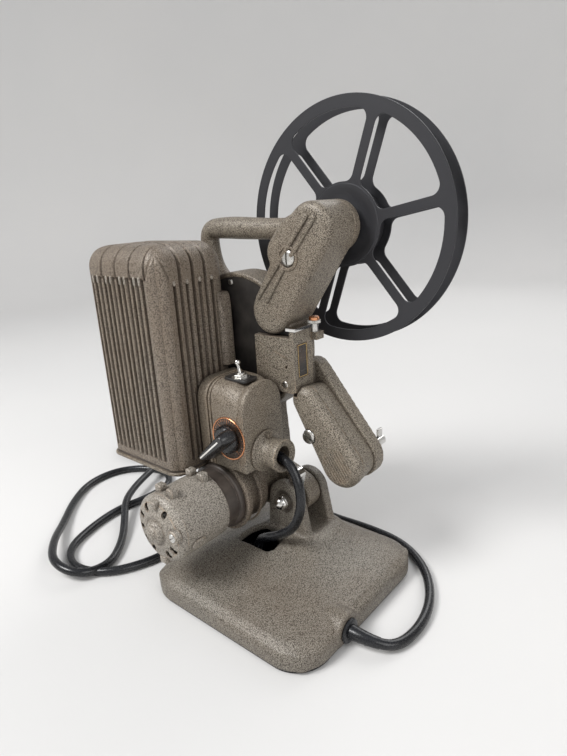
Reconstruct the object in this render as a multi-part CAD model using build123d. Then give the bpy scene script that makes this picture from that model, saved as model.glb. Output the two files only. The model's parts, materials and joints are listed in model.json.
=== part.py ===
"""Silent 16 mm film projector with a side motor, a ribbed lamp house and one 7 inch reel.

Millimetres. +X points to the screen, +Y to the film side, +Z up.
The origin is the centre of the base footprint, on the table.
"""
import math
import os

from build123d import *

# Fits shared by all pieces
RUN = 0.05          # radial running clearance of a shaft
FREE = 0.5          # side gap beside a moving part
FIT = 0.05          # joint gap between castings of curved outline

# Base
BASE_X = 167.0
BASE_Y = 162.0
BASE_CORNER = 28.0
RIM_H = 14.0
CROWN_H = 40.0
BASE_WALL = 4.0
PAD_T = 2.0
PAD_INSET = 2.0
BOSS_R = 9.0
PLUG_INSET = 14.0
PLUG_R = 2.5
GLAND = (-29.0, 10.0)           # Y and Z of the mains gland on the +X side
GLAND_R = 7.5
CORD_D = 7.5

# Tilt pivot: X and Z of the axis, and the Y of the fork cheeks
PIVOT = (-4.0, 67.5)
CHEEK_R = 17.0
CHEEK_FOOT = (-2.0, 38.0, 21.0)
NEAR_CHEEK = (8.0, 17.0)
FAR_CHEEK = (39.0, 48.0)
BOLT_R = 4.0
NUT_R = 6.5

# Axes across the head: X and Z
MOTOR = (-48.5, 73.0)
SHAFT = (-57.5, 192.0)
FEED = (24.5, 285.0)
TAKEUP = (44.5, 107.0)
DIAL = (-25.5, 132.0)
SOCKET = (-5.0, 118.0)          # Y and Z of the lead socket

# Round housing
DRUM_R = 60.0
DRUM_WALL = 4.0
DRUM_NEAR = 25.0
DRUM_FAR = 51.0
COVER_T = 2.0
COVER_Y = 26.0
STEM_R = 26.0
GATE_X = SHAFT[0] + DRUM_R + 2.0
STEM_TOP = (-56.0, 145.0, 28.0)
STEM_CORE = (-57.0, 152.0, 23.0)
MAIN_SHAFT_R = 2.5
BEAM_R = 8.0
SHUTTER_R = DRUM_R - DRUM_WALL - 1.5
STEM_FAR = 46.0
PAD_NEAR = 7.0
LUG_R = 15.5

# Gears, teeth and modules
FINE_MODULE = 0.6
COARSE_MODULE = 0.7
PINION_TEETH = 12
WHEEL_TEETH = 48
IDLER_TEETH = 31
SPROCKET_GEAR_TEETH = 62
IDLER_DX = -FINE_MODULE * (PINION_TEETH + WHEEL_TEETH) / 2
SPROCKET_DZ = 30.0
FINE_Y = (41.8, 43.8)
COARSE_Y = (44.2, 46.6)
SPROCKET_R = 9.7
SPROCKET_TEETH = 8
FILM_Y = 71.7
FILM_W = 16.0

# Lamp house
LAMP = (SHAFT[0] - DRUM_R + 14.0, -15.0)
LAMP_R = 16.0
HOUSE_X = (LAMP[0] - 52.0, LAMP[0] + 39.5)
HOUSE_Y = (-49.0, 23.0)
HOUSE_Z = (100.2, 279.0)
HOUSE_WALL = 3.5
HOUSE_CORNER = 14.0
HOUSE_TOP_R = 15.0
TRAY_T = 5.0
GROOVES = 12
SIDE_GROOVES = 8
GROOVE_D = 1.6
MIRROR_BOX_X = (LAMP[0] - 18.0, -81.5)

# Motor
BARREL_R = 27.5
BARREL_Y = (-80.0, -20.0)
BARREL_WALL = 3.0
CAP_Y = -87.0
BOSS_Y = -95.0
RING_R = BARREL_R + 3.5
ROTOR_R = BARREL_R - 10.5
NECK_BORE_R = BARREL_R - 5.0
FAN_R = NECK_BORE_R - 1.5
MOTOR_SHAFT_R = 3.5
FAN_BLADES = 8
PULLEY_Y = (34.5, 40.5)
MOTOR_PULLEY_R = 9.0
MAIN_PULLEY_R = 18.0
BELT_R = 1.6

# Control box
BOX_X = (-50.0, -8.5)
BOX_Y = (-27.0, 18.0)
BOX_Z = (105.0, 175.0)
BOX_WALL = 3.0
BACK_X = -62.0
TOGGLE = (-27.0, -7.0)           # X and Y of the switch
DIAL_R = 17.5
KNOB_R = 11.0

# Arms
ARM_NEAR = 18.0
ARM_FAR = 50.0
ARM_LOW = (-17.5, 223.0, 18.0)
ARM_TOP_R = 19.0
ARM_WALL = 3.5
ARM_BOSS_Y = 57.0
LOWER_TOP = (2.0, 170.0, 12.0)
LOWER_R = 18.0
LOWER_SPLIT = 45.0
LOWER_FAR = 57.0

# Gate block
FRAMER = (GATE_X + 3.9, 43.0)    # X and Y of the framing knob

# Reel and spindles
REEL_R = 88.9
REEL_NEAR = 63.0
REEL_FAR = 81.0
FLANGE_T = 1.2
REEL_SPOKES = 6
SPOKE_ANGLE = 70.9
HUB_R = 25.0
SPINDLE_R = 3.9
SPINDLE_END = 84.0


def block(x, y, z):
    """Box between (low, high) pairs on the three axes."""
    size = [abs(b - a) for a, b in (x, y, z)]
    mid = [(a + b) / 2 for a, b in (x, y, z)]
    return Pos(*mid) * Box(*size)


def rod_y(at, radius, low, high):
    """Cylinder along Y on an (X, Z) axis."""
    return Pos(at[0], (low + high) / 2, at[1]) * Rot(90, 0, 0) * Cylinder(radius, high - low)


def rod_x(at, radius, low, high):
    """Cylinder along X on a (Y, Z) axis."""
    return Pos((low + high) / 2, at[0], at[1]) * Rot(0, 90, 0) * Cylinder(radius, high - low)


def rod_z(at, radius, low, high):
    """Cylinder along Z on an (X, Y) axis."""
    return Pos(at[0], at[1], (low + high) / 2) * Cylinder(radius, high - low)


def plate_y(points, low, high):
    """Prism along Y from an outline in the XZ plane."""
    corners = [Vector(x, low, z) for x, z in points]
    return extrude(make_face(Polyline(*corners, close=True)), amount=high - low, dir=(0, 1, 0))


def link_y(first, second, low, high):
    """Prism along Y round two circles, each given as (X, Z, radius)."""
    (x0, z0, r0), (x1, z1, r1) = first, second
    run = math.hypot(x1 - x0, z1 - z0)
    heading = math.atan2(z1 - z0, x1 - x0)
    spread = math.acos((r0 - r1) / run)
    corners = []
    for x, z, r, sign in ((x0, z0, r0, 1), (x1, z1, r1, 1), (x1, z1, r1, -1), (x0, z0, r0, -1)):
        angle = heading + sign * spread
        corners.append((x + r * math.cos(angle), z + r * math.sin(angle)))
    ends = rod_y((x0, z0), r0, low, high) + rod_y((x1, z1), r1, low, high)
    return plate_y(corners, low, high) + ends


def gear(at, module, teeth, low, high, bore, turn=0.0):
    """Spur gear along Y with slim straight-sided teeth, turned by so many degrees."""
    pitch_r = module * teeth / 2
    root_r = pitch_r - 1.2 * module
    tip_r = pitch_r + 0.75 * module
    pitch = 2 * math.pi / teeth
    outline = []
    for i in range(teeth):
        middle = math.radians(turn) + i * pitch
        for radius, share in ((root_r, -0.24), (tip_r, -0.10), (tip_r, 0.10), (root_r, 0.24)):
            angle = middle + share * pitch
            outline.append((at[0] + radius * math.cos(angle), at[1] + radius * math.sin(angle)))
    return plate_y(outline, low, high) - rod_y(at, bore, low - 1, high + 1)


def rounded_plate(cx, cy, half_x, half_y, corner, z):
    """Rounded rectangle face at a height."""
    return Plane(origin=(cx, cy, z)) * RectangleRounded(2 * half_x, 2 * half_y, corner)


def upright(body, radius):
    """Fillet the vertical edges of a body."""
    return fillet(body.edges().filter_by(Axis.Z), radius)


def crown(inset, low):
    """Base body: a straight rim under a soft crown, inset by a wall."""
    hx, hy = BASE_X / 2, BASE_Y / 2
    rim = extrude(rounded_plate(0, 0, hx - inset, hy - inset, BASE_CORNER - inset, low),
                  amount=RIM_H - low)
    steps = [(0, 0, hx, hy, BASE_CORNER, RIM_H), (0, 0, hx - 8, hy - 8, 26, RIM_H + 5),
             (0, 8, hx - 30, hy - 29, 22, RIM_H + 12), (-1, 22, 34, 34, 18, RIM_H + 20),
             (-1, 28, 23, 23, 12, CROWN_H)]
    faces = [rounded_plate(x, y, a - inset, b - inset, c - inset, z - (inset if i else 0))
             for i, (x, y, a, b, c, z) in enumerate(steps)]
    return rim + loft(faces, ruled=True)


def base_casting():
    """Crowned base with its fork, gland bump and the slot of the head's lead."""
    body = crown(0, PAD_T)
    for low, high in (NEAR_CHEEK, FAR_CHEEK):
        body += link_y(CHEEK_FOOT, (*PIVOT, CHEEK_R), low, high)
    bump = rod_x(GLAND, GLAND_R + 6, BASE_X / 2 - 26, BASE_X / 2)
    body += bump - block((0, 100), (-60, 0), (-20, PAD_T))
    body -= crown(BASE_WALL, PAD_T - 1)
    for at in plug_places():
        body += rod_z(at, BOSS_R, PAD_T, RIM_H + 1)
        body -= rod_z(at, PLUG_R + RUN, 0, RIM_H)
    body -= block((-100, 100), (-100, 100), (-40, PAD_T))
    body -= rod_y(PIVOT, BOLT_R + RUN, 0, 60)
    body -= rod_y(PIVOT, NUT_R + 3, NEAR_CHEEK[0] - 1, NEAR_CHEEK[0] + 2)
    body -= rod_x(GLAND, GLAND_R, BASE_X / 2 - 40, BASE_X / 2 + 1)
    body -= block((-38, 1), (-17, 6), (20, 45))
    return body


def plug_places():
    """X and Y of the pad's four plugs."""
    reach_x, reach_y = BASE_X / 2 - PLUG_INSET, BASE_Y / 2 - PLUG_INSET
    return [(sx * reach_x, sy * reach_y) for sx in (-1, 1) for sy in (-1, 1)]


def rubber_pad():
    """Rubber pad under the whole base, held by a plug at each corner."""
    hx, hy = BASE_X / 2 - PAD_INSET, BASE_Y / 2 - PAD_INSET
    body = extrude(rounded_plate(0, 0, hx, hy, BASE_CORNER - PAD_INSET, 0), amount=PAD_T)
    for at in plug_places():
        body += rod_z(at, PLUG_R, PAD_T, RIM_H - 1)
    return body


def tilt_bolt():
    """Pivot bolt with its far head, and the domed nut on its near end."""
    nut_y = NEAR_CHEEK[0]
    bolt = rod_y(PIVOT, BOLT_R, nut_y - 1, FAR_CHEEK[1] + FREE) + rod_y(
        PIVOT, 8, FAR_CHEEK[1] + FREE, FAR_CHEEK[1] + 6)
    nut = rod_y(PIVOT, NUT_R, nut_y - 3, nut_y + 2)
    nut += Pos(PIVOT[0], nut_y - 3, PIVOT[1]) * Sphere(NUT_R - 0.5)
    nut -= rod_y(PIVOT, BOLT_R + RUN, nut_y - 1, nut_y + 3)
    return [bolt, nut]


def clamp_lever():
    """Bright lever on the pivot between the cheeks, beside the head's lug."""
    low, high = NEAR_CHEEK[1] + 0.3, NEAR_CHEEK[1] + 4.3
    tip = (PIVOT[0] + 9, PIVOT[1] + 24)
    arm = link_y((*PIVOT, 8), (*tip, 5), low, high)
    grip = rod_y(tip, 5, low - 7, low)
    return arm + grip - rod_y(PIVOT, BOLT_R + RUN, low - 1, high + 1)


def sprocket_axis(side):
    """X and Z of a sprocket, above (+1) or below (-1) the main shaft."""
    idler = (SHAFT[0] + IDLER_DX, SHAFT[1])
    reach = COARSE_MODULE * (IDLER_TEETH + SPROCKET_GEAR_TEETH) / 2
    return (idler[0] + math.sqrt(reach ** 2 - SPROCKET_DZ ** 2), SHAFT[1] + side * SPROCKET_DZ)


def main_casting():
    """Round housing, stem, tilt lug, front block and the far half of the lower arm."""
    stem_low = (*MOTOR, STEM_R)
    body = rod_y(SHAFT, DRUM_R, DRUM_NEAR, DRUM_FAR)
    body += link_y(stem_low, STEM_TOP, DRUM_NEAR, STEM_FAR)
    lug = (NEAR_CHEEK[1] + 5, FAR_CHEEK[0] - FREE)
    body += link_y(stem_low, (*PIVOT, LUG_R), lug[0], lug[1])
    body += rod_y(MOTOR, STEM_R, PAD_NEAR + 1, DRUM_NEAR)
    body += block((-33.5, GATE_X), (24, LOWER_SPLIT), (158, 206))
    body += block((-48, -20), (BOX_Y[1], DRUM_NEAR + 1), (108, 156))
    body += link_y(LOWER_TOP, (*TAKEUP, LOWER_R), LOWER_SPLIT, LOWER_FAR)
    # Cavities: housing, stem channel and the light path
    body -= rod_y(SHAFT, DRUM_R - DRUM_WALL, DRUM_NEAR - 2, DRUM_FAR - DRUM_WALL)
    body -= link_y((*MOTOR, STEM_R - 6), STEM_CORE, 28, STEM_FAR - DRUM_WALL)
    body -= rod_y((LAMP[0], SHAFT[1]), BEAM_R, DRUM_FAR - 6, DRUM_FAR + 1)
    # Bores
    body -= rod_y(PIVOT, BOLT_R + RUN, 0, 60)
    body -= rod_y(MOTOR, MOTOR_SHAFT_R + RUN, 0, 45)
    body -= rod_y(SHAFT, MAIN_SHAFT_R + RUN, 44, DRUM_FAR - 1)
    for side in (1, -1):
        at = sprocket_axis(side)
        body += rod_y(at, 6, DRUM_FAR, DRUM_FAR + 5)
        body -= rod_y(at, 3 + RUN, 44, DRUM_FAR + 6)
    body -= rod_y(TAKEUP, SPINDLE_R + RUN, 40, 60)
    # Idler stud
    body += rod_y((SHAFT[0] + IDLER_DX, SHAFT[1]), 2, 40.5, DRUM_FAR - 1)
    return body


def housing_cover():
    """Recessed round cover with the condenser opening and the main shaft's near bearing."""
    body = rod_y(SHAFT, DRUM_R - DRUM_WALL - FIT, COVER_Y, COVER_Y + COVER_T)
    body += rod_y(SHAFT, 7, COVER_Y + COVER_T, COVER_Y + 4)
    body -= rod_y(SHAFT, MAIN_SHAFT_R + RUN, COVER_Y + 0.8, COVER_Y + 10)
    body -= rod_y((LAMP[0], SHAFT[1]), 8 + FIT, COVER_Y - 1, COVER_Y + 4)
    return body


def condenser_lens():
    """Lens in the cover's opening that gathers the lamp's light."""
    at = (LAMP[0], SHAFT[1])
    return rod_y(at, 8, COVER_Y - 1, COVER_Y + 2.6)


def side_plate():
    """Plate over the gate block, with its diagonal seam as two solids."""
    near, far = 18.5, 24.0
    low = [(-33.5, 160), (GATE_X, 160), (GATE_X, 186), (-33.5, 200)]
    high = [(-33.5, 200.4), (GATE_X, 186.4), (GATE_X, 204.5), (-33.5, 204.5)]
    hole = (-2, 181)
    screw = (-4.5, 166.0)
    return [plate_y(low, near, far) - rod_y(hole, 1.2, near - 1, far - 2)
            - rod_y(screw, 3.05, near - 1, near + 2), plate_y(high, near, far)]


def front_plate():
    """Plate facing the screen with a bare label recess."""
    body = block((GATE_X, GATE_X + 3.5), (16.5, 39), (162, 210))
    return body - block((GATE_X + 2.9, GATE_X + 4.5), (21, 34), (172, 200))


def gate_cap():
    """Bright cap on top of the gate block."""
    return block((GATE_X - 4.5, GATE_X + 5), (17, 38.5), (210.2, 212.7))


def framing_knob():
    """Small knob that sets the frame line, on its steel rim."""
    at = FRAMER
    return rod_z(at, 3.5, 200, 213) + rod_z(at, 5.2, 213, 215) + rod_z(at, 4.2, 215, 218)


def knob_bracket():
    """Bracket on the front plate that holds the framing knob."""
    return block((GATE_X, FRAMER[0] + 5), (39, FRAMER[1] + 5.5), (200, 206))


def upper_arm():
    """Hollow arm that carries the feed spindle; it hooks over the round housing."""
    top = (*FEED, ARM_TOP_R)
    body = link_y(ARM_LOW, top, ARM_NEAR, ARM_FAR)
    body += link_y((-2, 268, 15), (8, 282, 13), ARM_NEAR, ARM_FAR)
    body -= link_y((ARM_LOW[0], ARM_LOW[1], ARM_LOW[2] - ARM_WALL), (*FEED, ARM_TOP_R - ARM_WALL),
                   ARM_NEAR + ARM_WALL, ARM_FAR + 1)
    body -= rod_y(SHAFT, DRUM_R + 0.2, DRUM_NEAR, ARM_FAR + 1)
    body -= rod_y((5.5, 265), 6.6, ARM_NEAR - 1, ARM_NEAR + 1.5)
    return body


def arm_back_cover():
    """Cover of the upper arm with the feed spindle's bearing boss."""
    body = link_y(ARM_LOW, (*FEED, ARM_TOP_R), ARM_FAR, ARM_FAR + 3)
    body += rod_y(FEED, ARM_TOP_R, ARM_FAR, ARM_BOSS_Y)
    body -= rod_y(SHAFT, DRUM_R + 0.2, DRUM_NEAR, ARM_FAR + 4)
    body -= rod_y(FEED, SPINDLE_R + RUN, 40, 60)
    return body


def lower_arm_cover():
    """Near half of the lower arm, hollow over the take-up pulley."""
    top = (LOWER_TOP[0] + 10, 154, 12)
    body = link_y(top, (*TAKEUP, LOWER_R), ARM_NEAR, LOWER_SPLIT)
    body -= link_y((top[0], top[1], 8.5), (*TAKEUP, LOWER_R - ARM_WALL), ARM_NEAR + 4, LOWER_SPLIT + 1)
    body -= block((-40, GATE_X + 3.7), (10, 46), (157.8, 220))
    body -= rod_y((17.5, 127), 6.6, ARM_NEAR - 1, ARM_NEAR + 1.5)
    return body


def slotted_screw(at, radius, low, height):
    """Cheese-head screw along Y with its head at the near side."""
    head = rod_y(at, radius, low, low + height)
    return head - block((at[0] - 0.5, at[0] + 0.5), (low - 1, low + 0.8), (at[1] - radius, at[1] + radius))


def slotted_screws():
    """Screws of the upper arm, the lower arm and the gate plate."""
    return [slotted_screw((5.5, 265), 6, ARM_NEAR - 1, 2.5),
            slotted_screw((17.5, 127), 6, ARM_NEAR - 1, 2.5),
            slotted_screw((-4.5, 166), 3, 18.5, 2)]


def carry_handle():
    """Round bar from the housing rim to the upper arm."""
    route = FilletPolyline((-84, 38, 236), (-93.5, 38, 262), (-93.5, 38, 284.5), (10, 38, 284.5), radius=11)
    body = sweep(Plane(origin=route @ 0, z_dir=route % 0) * Circle(8), path=route)
    body -= rod_y(SHAFT, DRUM_R + FIT, 20, 60)
    arm = link_y(ARM_LOW, (*FEED, ARM_TOP_R), 20, 60) + link_y((-2, 268, 15), (8, 282, 13), 20, 60)
    body -= arm
    return max(body.solids(), key=lambda s: s.volume)


def house_shell_form(inset):
    """Lamp house outline with round corners and a round top, inset by a wall."""
    (x0, x1), (y0, y1), (z0, z1) = HOUSE_X, HOUSE_Y, HOUSE_Z
    low = z0 if inset < HOUSE_WALL else z0 - 1
    body = block((x0 + inset, x1 - inset), (y0 + inset, y1 - inset), (low, z1 - inset))
    body = upright(body, HOUSE_CORNER - inset)
    return fillet(body.edges().group_by(Axis.Z)[-1], HOUSE_TOP_R - inset - 1)


def lamphouse_shell():
    """Ribbed shell that lifts off upwards, with the light opening in its housing side."""
    outer = house_shell_form(0)
    skin = outer - house_shell_form(GROOVE_D)
    body = outer - house_shell_form(HOUSE_WALL)
    pod = block((HOUSE_X[1] - 14, HOUSE_X[1] + 4.5), (HOUSE_Y[1] - 13, HOUSE_Y[1]), (BOX_Z[1] + 1, 237))
    body += upright(pod, 6) - house_shell_form(HOUSE_WALL)
    pitch = (HOUSE_X[1] - HOUSE_X[0] - 23.4) / (GROOVES - 1)
    for i in range(GROOVES):
        x = HOUSE_X[0] + 6.7 + i * pitch
        body -= skin & block((x - 1.3, x + 1.3), (-60, -30), (106, 256))
    side_pitch = (HOUSE_Y[1] - HOUSE_Y[0] - 27.5) / (SIDE_GROOVES - 1)
    for i in range(SIDE_GROOVES):
        y = HOUSE_Y[0] + 16.7 + i * side_pitch
        body -= skin & block((HOUSE_X[1] - 6, HOUSE_X[1] + 1), (y - 0.9, y + 0.9), (106, 250))
    for i in range(3):
        x = HOUSE_X[0] + 22.2 + i * 3 * pitch
        body -= skin & block((x - 0.9, x + 0.9), (-60, 30), (262, 290))
    light = (LAMP[0], SHAFT[1])
    body -= link_y((*light, 12), (light[0], HOUSE_Z[0] - 20, 12), 10, 30)
    return body


def lamp_tray():
    """Tray under the lamp house with a back plate bolted to the round housing."""
    (x0, x1), (y0, y1) = HOUSE_X, HOUSE_Y
    body = upright(block((x0, x1), (y0, y1), (HOUSE_Z[0] - TRAY_T - 0.2, HOUSE_Z[0] - 0.2)), HOUSE_CORNER)
    plate_x = (LAMP[0] - 28.5, LAMP[0] + 19.5)
    back = block(plate_x, (y1 + 0.3, DRUM_NEAR), (HOUSE_Z[0] - TRAY_T - 0.2, 212))
    back += block(plate_x, (y1 - 2, DRUM_NEAR), (HOUSE_Z[0] - TRAY_T - 0.2, HOUSE_Z[0] - 0.2))
    back -= rod_y((LAMP[0], SHAFT[1]), 9, 20, 30)
    body += back
    for i in range(4):
        body -= block((x0 + 14.5, x0 + 30.5), (y0 + 11 + i * 13, y0 + 17 + i * 13), (90, 101))
    body -= rod_y(MOTOR, BARREL_R + FREE, BARREL_Y[0] - 1, BARREL_Y[1])
    return body - rod_y(MOTOR, RING_R + FREE, BARREL_Y[1] - 0.5, PAD_NEAR + 1)


def lamp_socket():
    """Ceramic and metal socket on the tray."""
    floor = HOUSE_Z[0] - 0.2
    body = rod_z(LAMP, 15, floor, floor + 6) + rod_z(LAMP, 12, floor, floor + 24)
    return body - rod_z(LAMP, 8 + FIT, floor + 10, floor + 30)


def projection_lamp():
    """Tubular lamp in its socket."""
    floor = HOUSE_Z[0] - 0.2
    body = rod_z(LAMP, 8, floor + 10, floor + 30) + rod_z(LAMP, 13, floor + 30, floor + 34)
    tube = rod_z(LAMP, LAMP_R, floor + 34, 246)
    tube = fillet(tube.edges().group_by(Axis.Z)[-1], 10)
    return body + tube


def reflector():
    """Dished mirror behind the lamp, on a post from the tray."""
    floor = HOUSE_Z[0] - 0.2
    y = LAMP[1] - LAMP_R - 11
    dish = rod_y((LAMP[0], SHAFT[1]), 18, y, y + 8)
    dish -= Pos(LAMP[0], y + 32, SHAFT[1]) * Sphere(30)
    post = block((LAMP[0] - 4, LAMP[0] + 4), (y - 2, y), (floor, SHAFT[1] + 6))
    foot = block((LAMP[0] - 8, LAMP[0] + 8), (y - 2, y + 8), (floor, floor + 2))
    return dish + post + foot


def mirror_box():
    """Box on the film side that turns the beam towards the gate."""
    (x0, x1), (z0, z1) = MIRROR_BOX_X, (SHAFT[1] - 19, SHAFT[1] + 25)
    outer = block((x0, x1), (DRUM_FAR, 91), (z0, z1))
    body = upright(outer, 5) - block((x0 + 3, x1 - 3), (DRUM_FAR - 1, 88), (z0 + 3, z1 - 3))
    body -= rod_x((FILM_Y, SHAFT[1]), 7, x1 - 8.5, x1 + 1.5)
    return body


def beam_mirror():
    """Mirror at 45 degrees across the beam, on a wedge that stands on the box floor."""
    x, y = LAMP[0], FILM_Y
    plate = Pos(x, y, SHAFT[1]) * Rot(0, 0, 45) * Box(34, 2.5, 30)
    stand = Pos(x, y, 178.1) * Rot(0, 0, 45) * Box(20, 2.5, 4.2)
    return plate + stand


def motor_housing():
    """Motor barrel."""
    body = rod_y(MOTOR, BARREL_R, *BARREL_Y)
    return body - rod_y(MOTOR, BARREL_R - BARREL_WALL, BARREL_Y[0] - 1, BARREL_Y[1] + 1)


def motor_end_cap():
    """Vented end cap with its domed bearing boss."""
    body = rod_y(MOTOR, BARREL_R, CAP_Y, BARREL_Y[0])
    body = fillet(body.edges().group_by(Axis.Y)[0], 4)
    body += rod_y(MOTOR, 12, CAP_Y - 2.5, CAP_Y) + rod_y(MOTOR, 8, BOSS_Y, CAP_Y)
    body -= rod_y(MOTOR, BARREL_R - BARREL_WALL, CAP_Y + 3, BARREL_Y[0] + 1)
    body += rod_y(MOTOR, 8, CAP_Y, BARREL_Y[0])
    body -= rod_y(MOTOR, MOTOR_SHAFT_R + RUN, BOSS_Y + 4, BARREL_Y[0] + 1)
    for i in range(FAN_BLADES):
        angle = math.radians(22.5 + 45 * i)
        reach = BARREL_R - 8.5
        at = (MOTOR[0] + reach * math.cos(angle), MOTOR[1] + reach * math.sin(angle))
        body -= rod_y(at, 2.4, CAP_Y - 3, CAP_Y + 4)
    return body


def motor_flange():
    """Inner end of the motor: ring, neck and mounting ring against the stem."""
    body = rod_y(MOTOR, RING_R, BARREL_Y[1], BARREL_Y[1] + 6)
    body += rod_y(MOTOR, BARREL_R - 2, BARREL_Y[1] + 6, -1) + rod_y(MOTOR, RING_R - 2.5, -1, PAD_NEAR)
    body += rod_y(MOTOR, STEM_R, PAD_NEAR, PAD_NEAR + 1)
    body -= rod_y(MOTOR, NECK_BORE_R, BARREL_Y[1] + 3, PAD_NEAR)
    return body - rod_y(MOTOR, MOTOR_SHAFT_R + RUN, BARREL_Y[1] - 1, PAD_NEAR + 2)


def motor_stator():
    """Laminated field ring inside the barrel."""
    body = rod_y(MOTOR, BARREL_R - BARREL_WALL, -66, -34)
    return body - rod_y(MOTOR, ROTOR_R + 0.6, -67, -33)


def motor_rotor():
    """Armature on its shaft, which runs through to the stem's pulley."""
    body = rod_y(MOTOR, MOTOR_SHAFT_R, BOSS_Y + 5, PULLEY_Y[1] + 1.3)
    return body + rod_y(MOTOR, ROTOR_R, -64, -36) + rod_y(MOTOR, 9, -76, -68)


def blower_fan():
    """Fan at the inner end of the motor that cools the lamp."""
    body = rod_y(MOTOR, 8, -16, 4)
    for i in range(FAN_BLADES):
        blade = Pos(0, 0, (FAN_R + 7) / 2) * Box(1.2, 14, FAN_R - 7)
        body += Pos(MOTOR[0], -6, MOTOR[1]) * Rot(0, 45 * i, 0) * blade
    return body - rod_y(MOTOR, MOTOR_SHAFT_R, -20, 6)


def grooved_pulley(at, radius, bore):
    """Pulley with a round groove for the belt."""
    body = rod_y(at, radius + BELT_R + 0.6, *PULLEY_Y)
    middle = (PULLEY_Y[0] + PULLEY_Y[1]) / 2
    groove = Pos(at[0], middle, at[1]) * Rot(90, 0, 0) * Torus(radius + BELT_R, BELT_R + 0.3)
    return body - groove - rod_y(at, bore, 20, 50)


def drive_belt():
    """Round belt from the motor pulley to the main shaft."""
    middle = (PULLEY_Y[0] + PULLEY_Y[1]) / 2
    a, b = MOTOR_PULLEY_R + BELT_R + 0.3, MAIN_PULLEY_R + BELT_R + 0.3
    run = math.hypot(SHAFT[0] - MOTOR[0], SHAFT[1] - MOTOR[1])
    heading = math.atan2(SHAFT[1] - MOTOR[1], SHAFT[0] - MOTOR[0])
    spread = math.acos((a - b) / run)

    def on(at, radius, angle):
        return Vector(at[0] + radius * math.cos(angle), middle, at[1] + radius * math.sin(angle))

    left, right = heading + spread, heading - spread
    path = Wire([
        Line(on(MOTOR, a, left), on(SHAFT, b, left)),
        ThreePointArc(on(SHAFT, b, left), on(SHAFT, b, heading), on(SHAFT, b, right)),
        Line(on(SHAFT, b, right), on(MOTOR, a, right)),
        ThreePointArc(on(MOTOR, a, right), on(MOTOR, a, heading + math.pi), on(MOTOR, a, left))])
    return sweep(Plane(origin=path @ 0, z_dir=path % 0) * Circle(BELT_R), path=path)


def main_shaft():
    """Shutter shaft with its pinion."""
    body = rod_y(SHAFT, MAIN_SHAFT_R, COVER_Y + 1, DRUM_FAR - 1.5)
    return body + gear(SHAFT, FINE_MODULE, PINION_TEETH, *FINE_Y, 1.0)


def shutter_disc():
    """Two-bladed shutter."""
    body = rod_y(SHAFT, SHUTTER_R, 31, 32)
    for turn in (0, 180):
        wedge = plate_y([(12, -12), (60, -34), (60, 34), (12, 12)], 30, 33)
        body -= Pos(SHAFT[0], 0, SHAFT[1]) * Rot(0, turn + 90, 0) * wedge
    return body + rod_y(SHAFT, 8, 30.5, 33.5) - rod_y(SHAFT, MAIN_SHAFT_R, 28, 36)


def idler_gear():
    """Compound idler between the shutter shaft and the sprockets."""
    at = (SHAFT[0] + IDLER_DX, SHAFT[1])
    body = gear(at, FINE_MODULE, WHEEL_TEETH, *FINE_Y, 2 + RUN, 180 / WHEEL_TEETH)
    return body + gear(at, COARSE_MODULE, IDLER_TEETH, FINE_Y[1], COARSE_Y[1], 2 + RUN)


def sprocket(side):
    """Sprocket drum, its shaft through the housing wall and its gear."""
    at = sprocket_axis(side)
    idler = (SHAFT[0] + IDLER_DX, SHAFT[1])
    line = math.degrees(math.atan2(at[1] - idler[1], at[0] - idler[0]))
    idler_phase = (line / 360 * IDLER_TEETH) % 1
    turn = line + 180 + (0.5 + idler_phase) * 360 / SPROCKET_GEAR_TEETH
    edge = (FILM_Y - FILM_W / 2, FILM_Y + FILM_W / 2)
    body = rod_y(at, 3, FINE_Y[1] + 0.2, edge[1] + 3)
    body += gear(at, COARSE_MODULE, SPROCKET_GEAR_TEETH, *COARSE_Y, 1.0, turn)
    body += rod_y(at, SPROCKET_R, edge[0], edge[0] + 4) + rod_y(at, SPROCKET_R, edge[1] - 4, edge[1])
    body += rod_y(at, SPROCKET_R - 2, edge[0], edge[1]) + rod_y(at, 6, edge[0] - 7, edge[0])
    for i in range(SPROCKET_TEETH):
        tooth = Pos(0, 0, SPROCKET_R + 0.4) * Box(1.2, 1.6, 1.6)
        for y in (edge[0] + 1.4, edge[1] - 1.4):
            body += Pos(at[0], y, at[1]) * Rot(0, 360 / SPROCKET_TEETH * i, 0) * tooth
    return body


def aperture_plate():
    """Fixed gate plate with the frame opening and the claw slot."""
    body = block((-71.5, -68.7), (DRUM_FAR, 84), (176, 208))
    body += block((-79, -71.5), (DRUM_FAR, DRUM_FAR + 2), (180, 204))
    body -= block((-75, -66), (FILM_Y - 5, FILM_Y + 5), (SHAFT[1] - 3.7, SHAFT[1] + 3.7))
    body -= block((-75, -66), (62, 65), (179, 190))
    return body


def film_claw():
    """Claw that pulls the film down one frame at a time."""
    body = block((-75.5, -72.5), (DRUM_FAR + 2.3, 66), (180, 183.5))
    return body + block((-72.5, -68.9), (62.6, 64.4), (180.4, 181.6))


def lens_carrier():
    """Lens holder with the pressure plate on two pins; it slides forward to open the gate."""
    at = (FILM_Y, SHAFT[1])
    body = rod_x(at, 14, -58, -36) + block((-58, -40), (DRUM_FAR + 0.3, FILM_Y - 8), (187, 197))
    plate = block((-67.9, -65.5), (61, 82.5), (177, 207))
    plate -= block((-70, -60), (FILM_Y - 6, FILM_Y + 6), (SHAFT[1] - 5, SHAFT[1] + 5))
    for z in (SHAFT[1] - 12.4, SHAFT[1] + 12.4):
        body += rod_x((FILM_Y, z), 1.4, -66, -57)
    return body + plate - rod_x(at, 10 + RUN, -62, -30)


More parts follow.
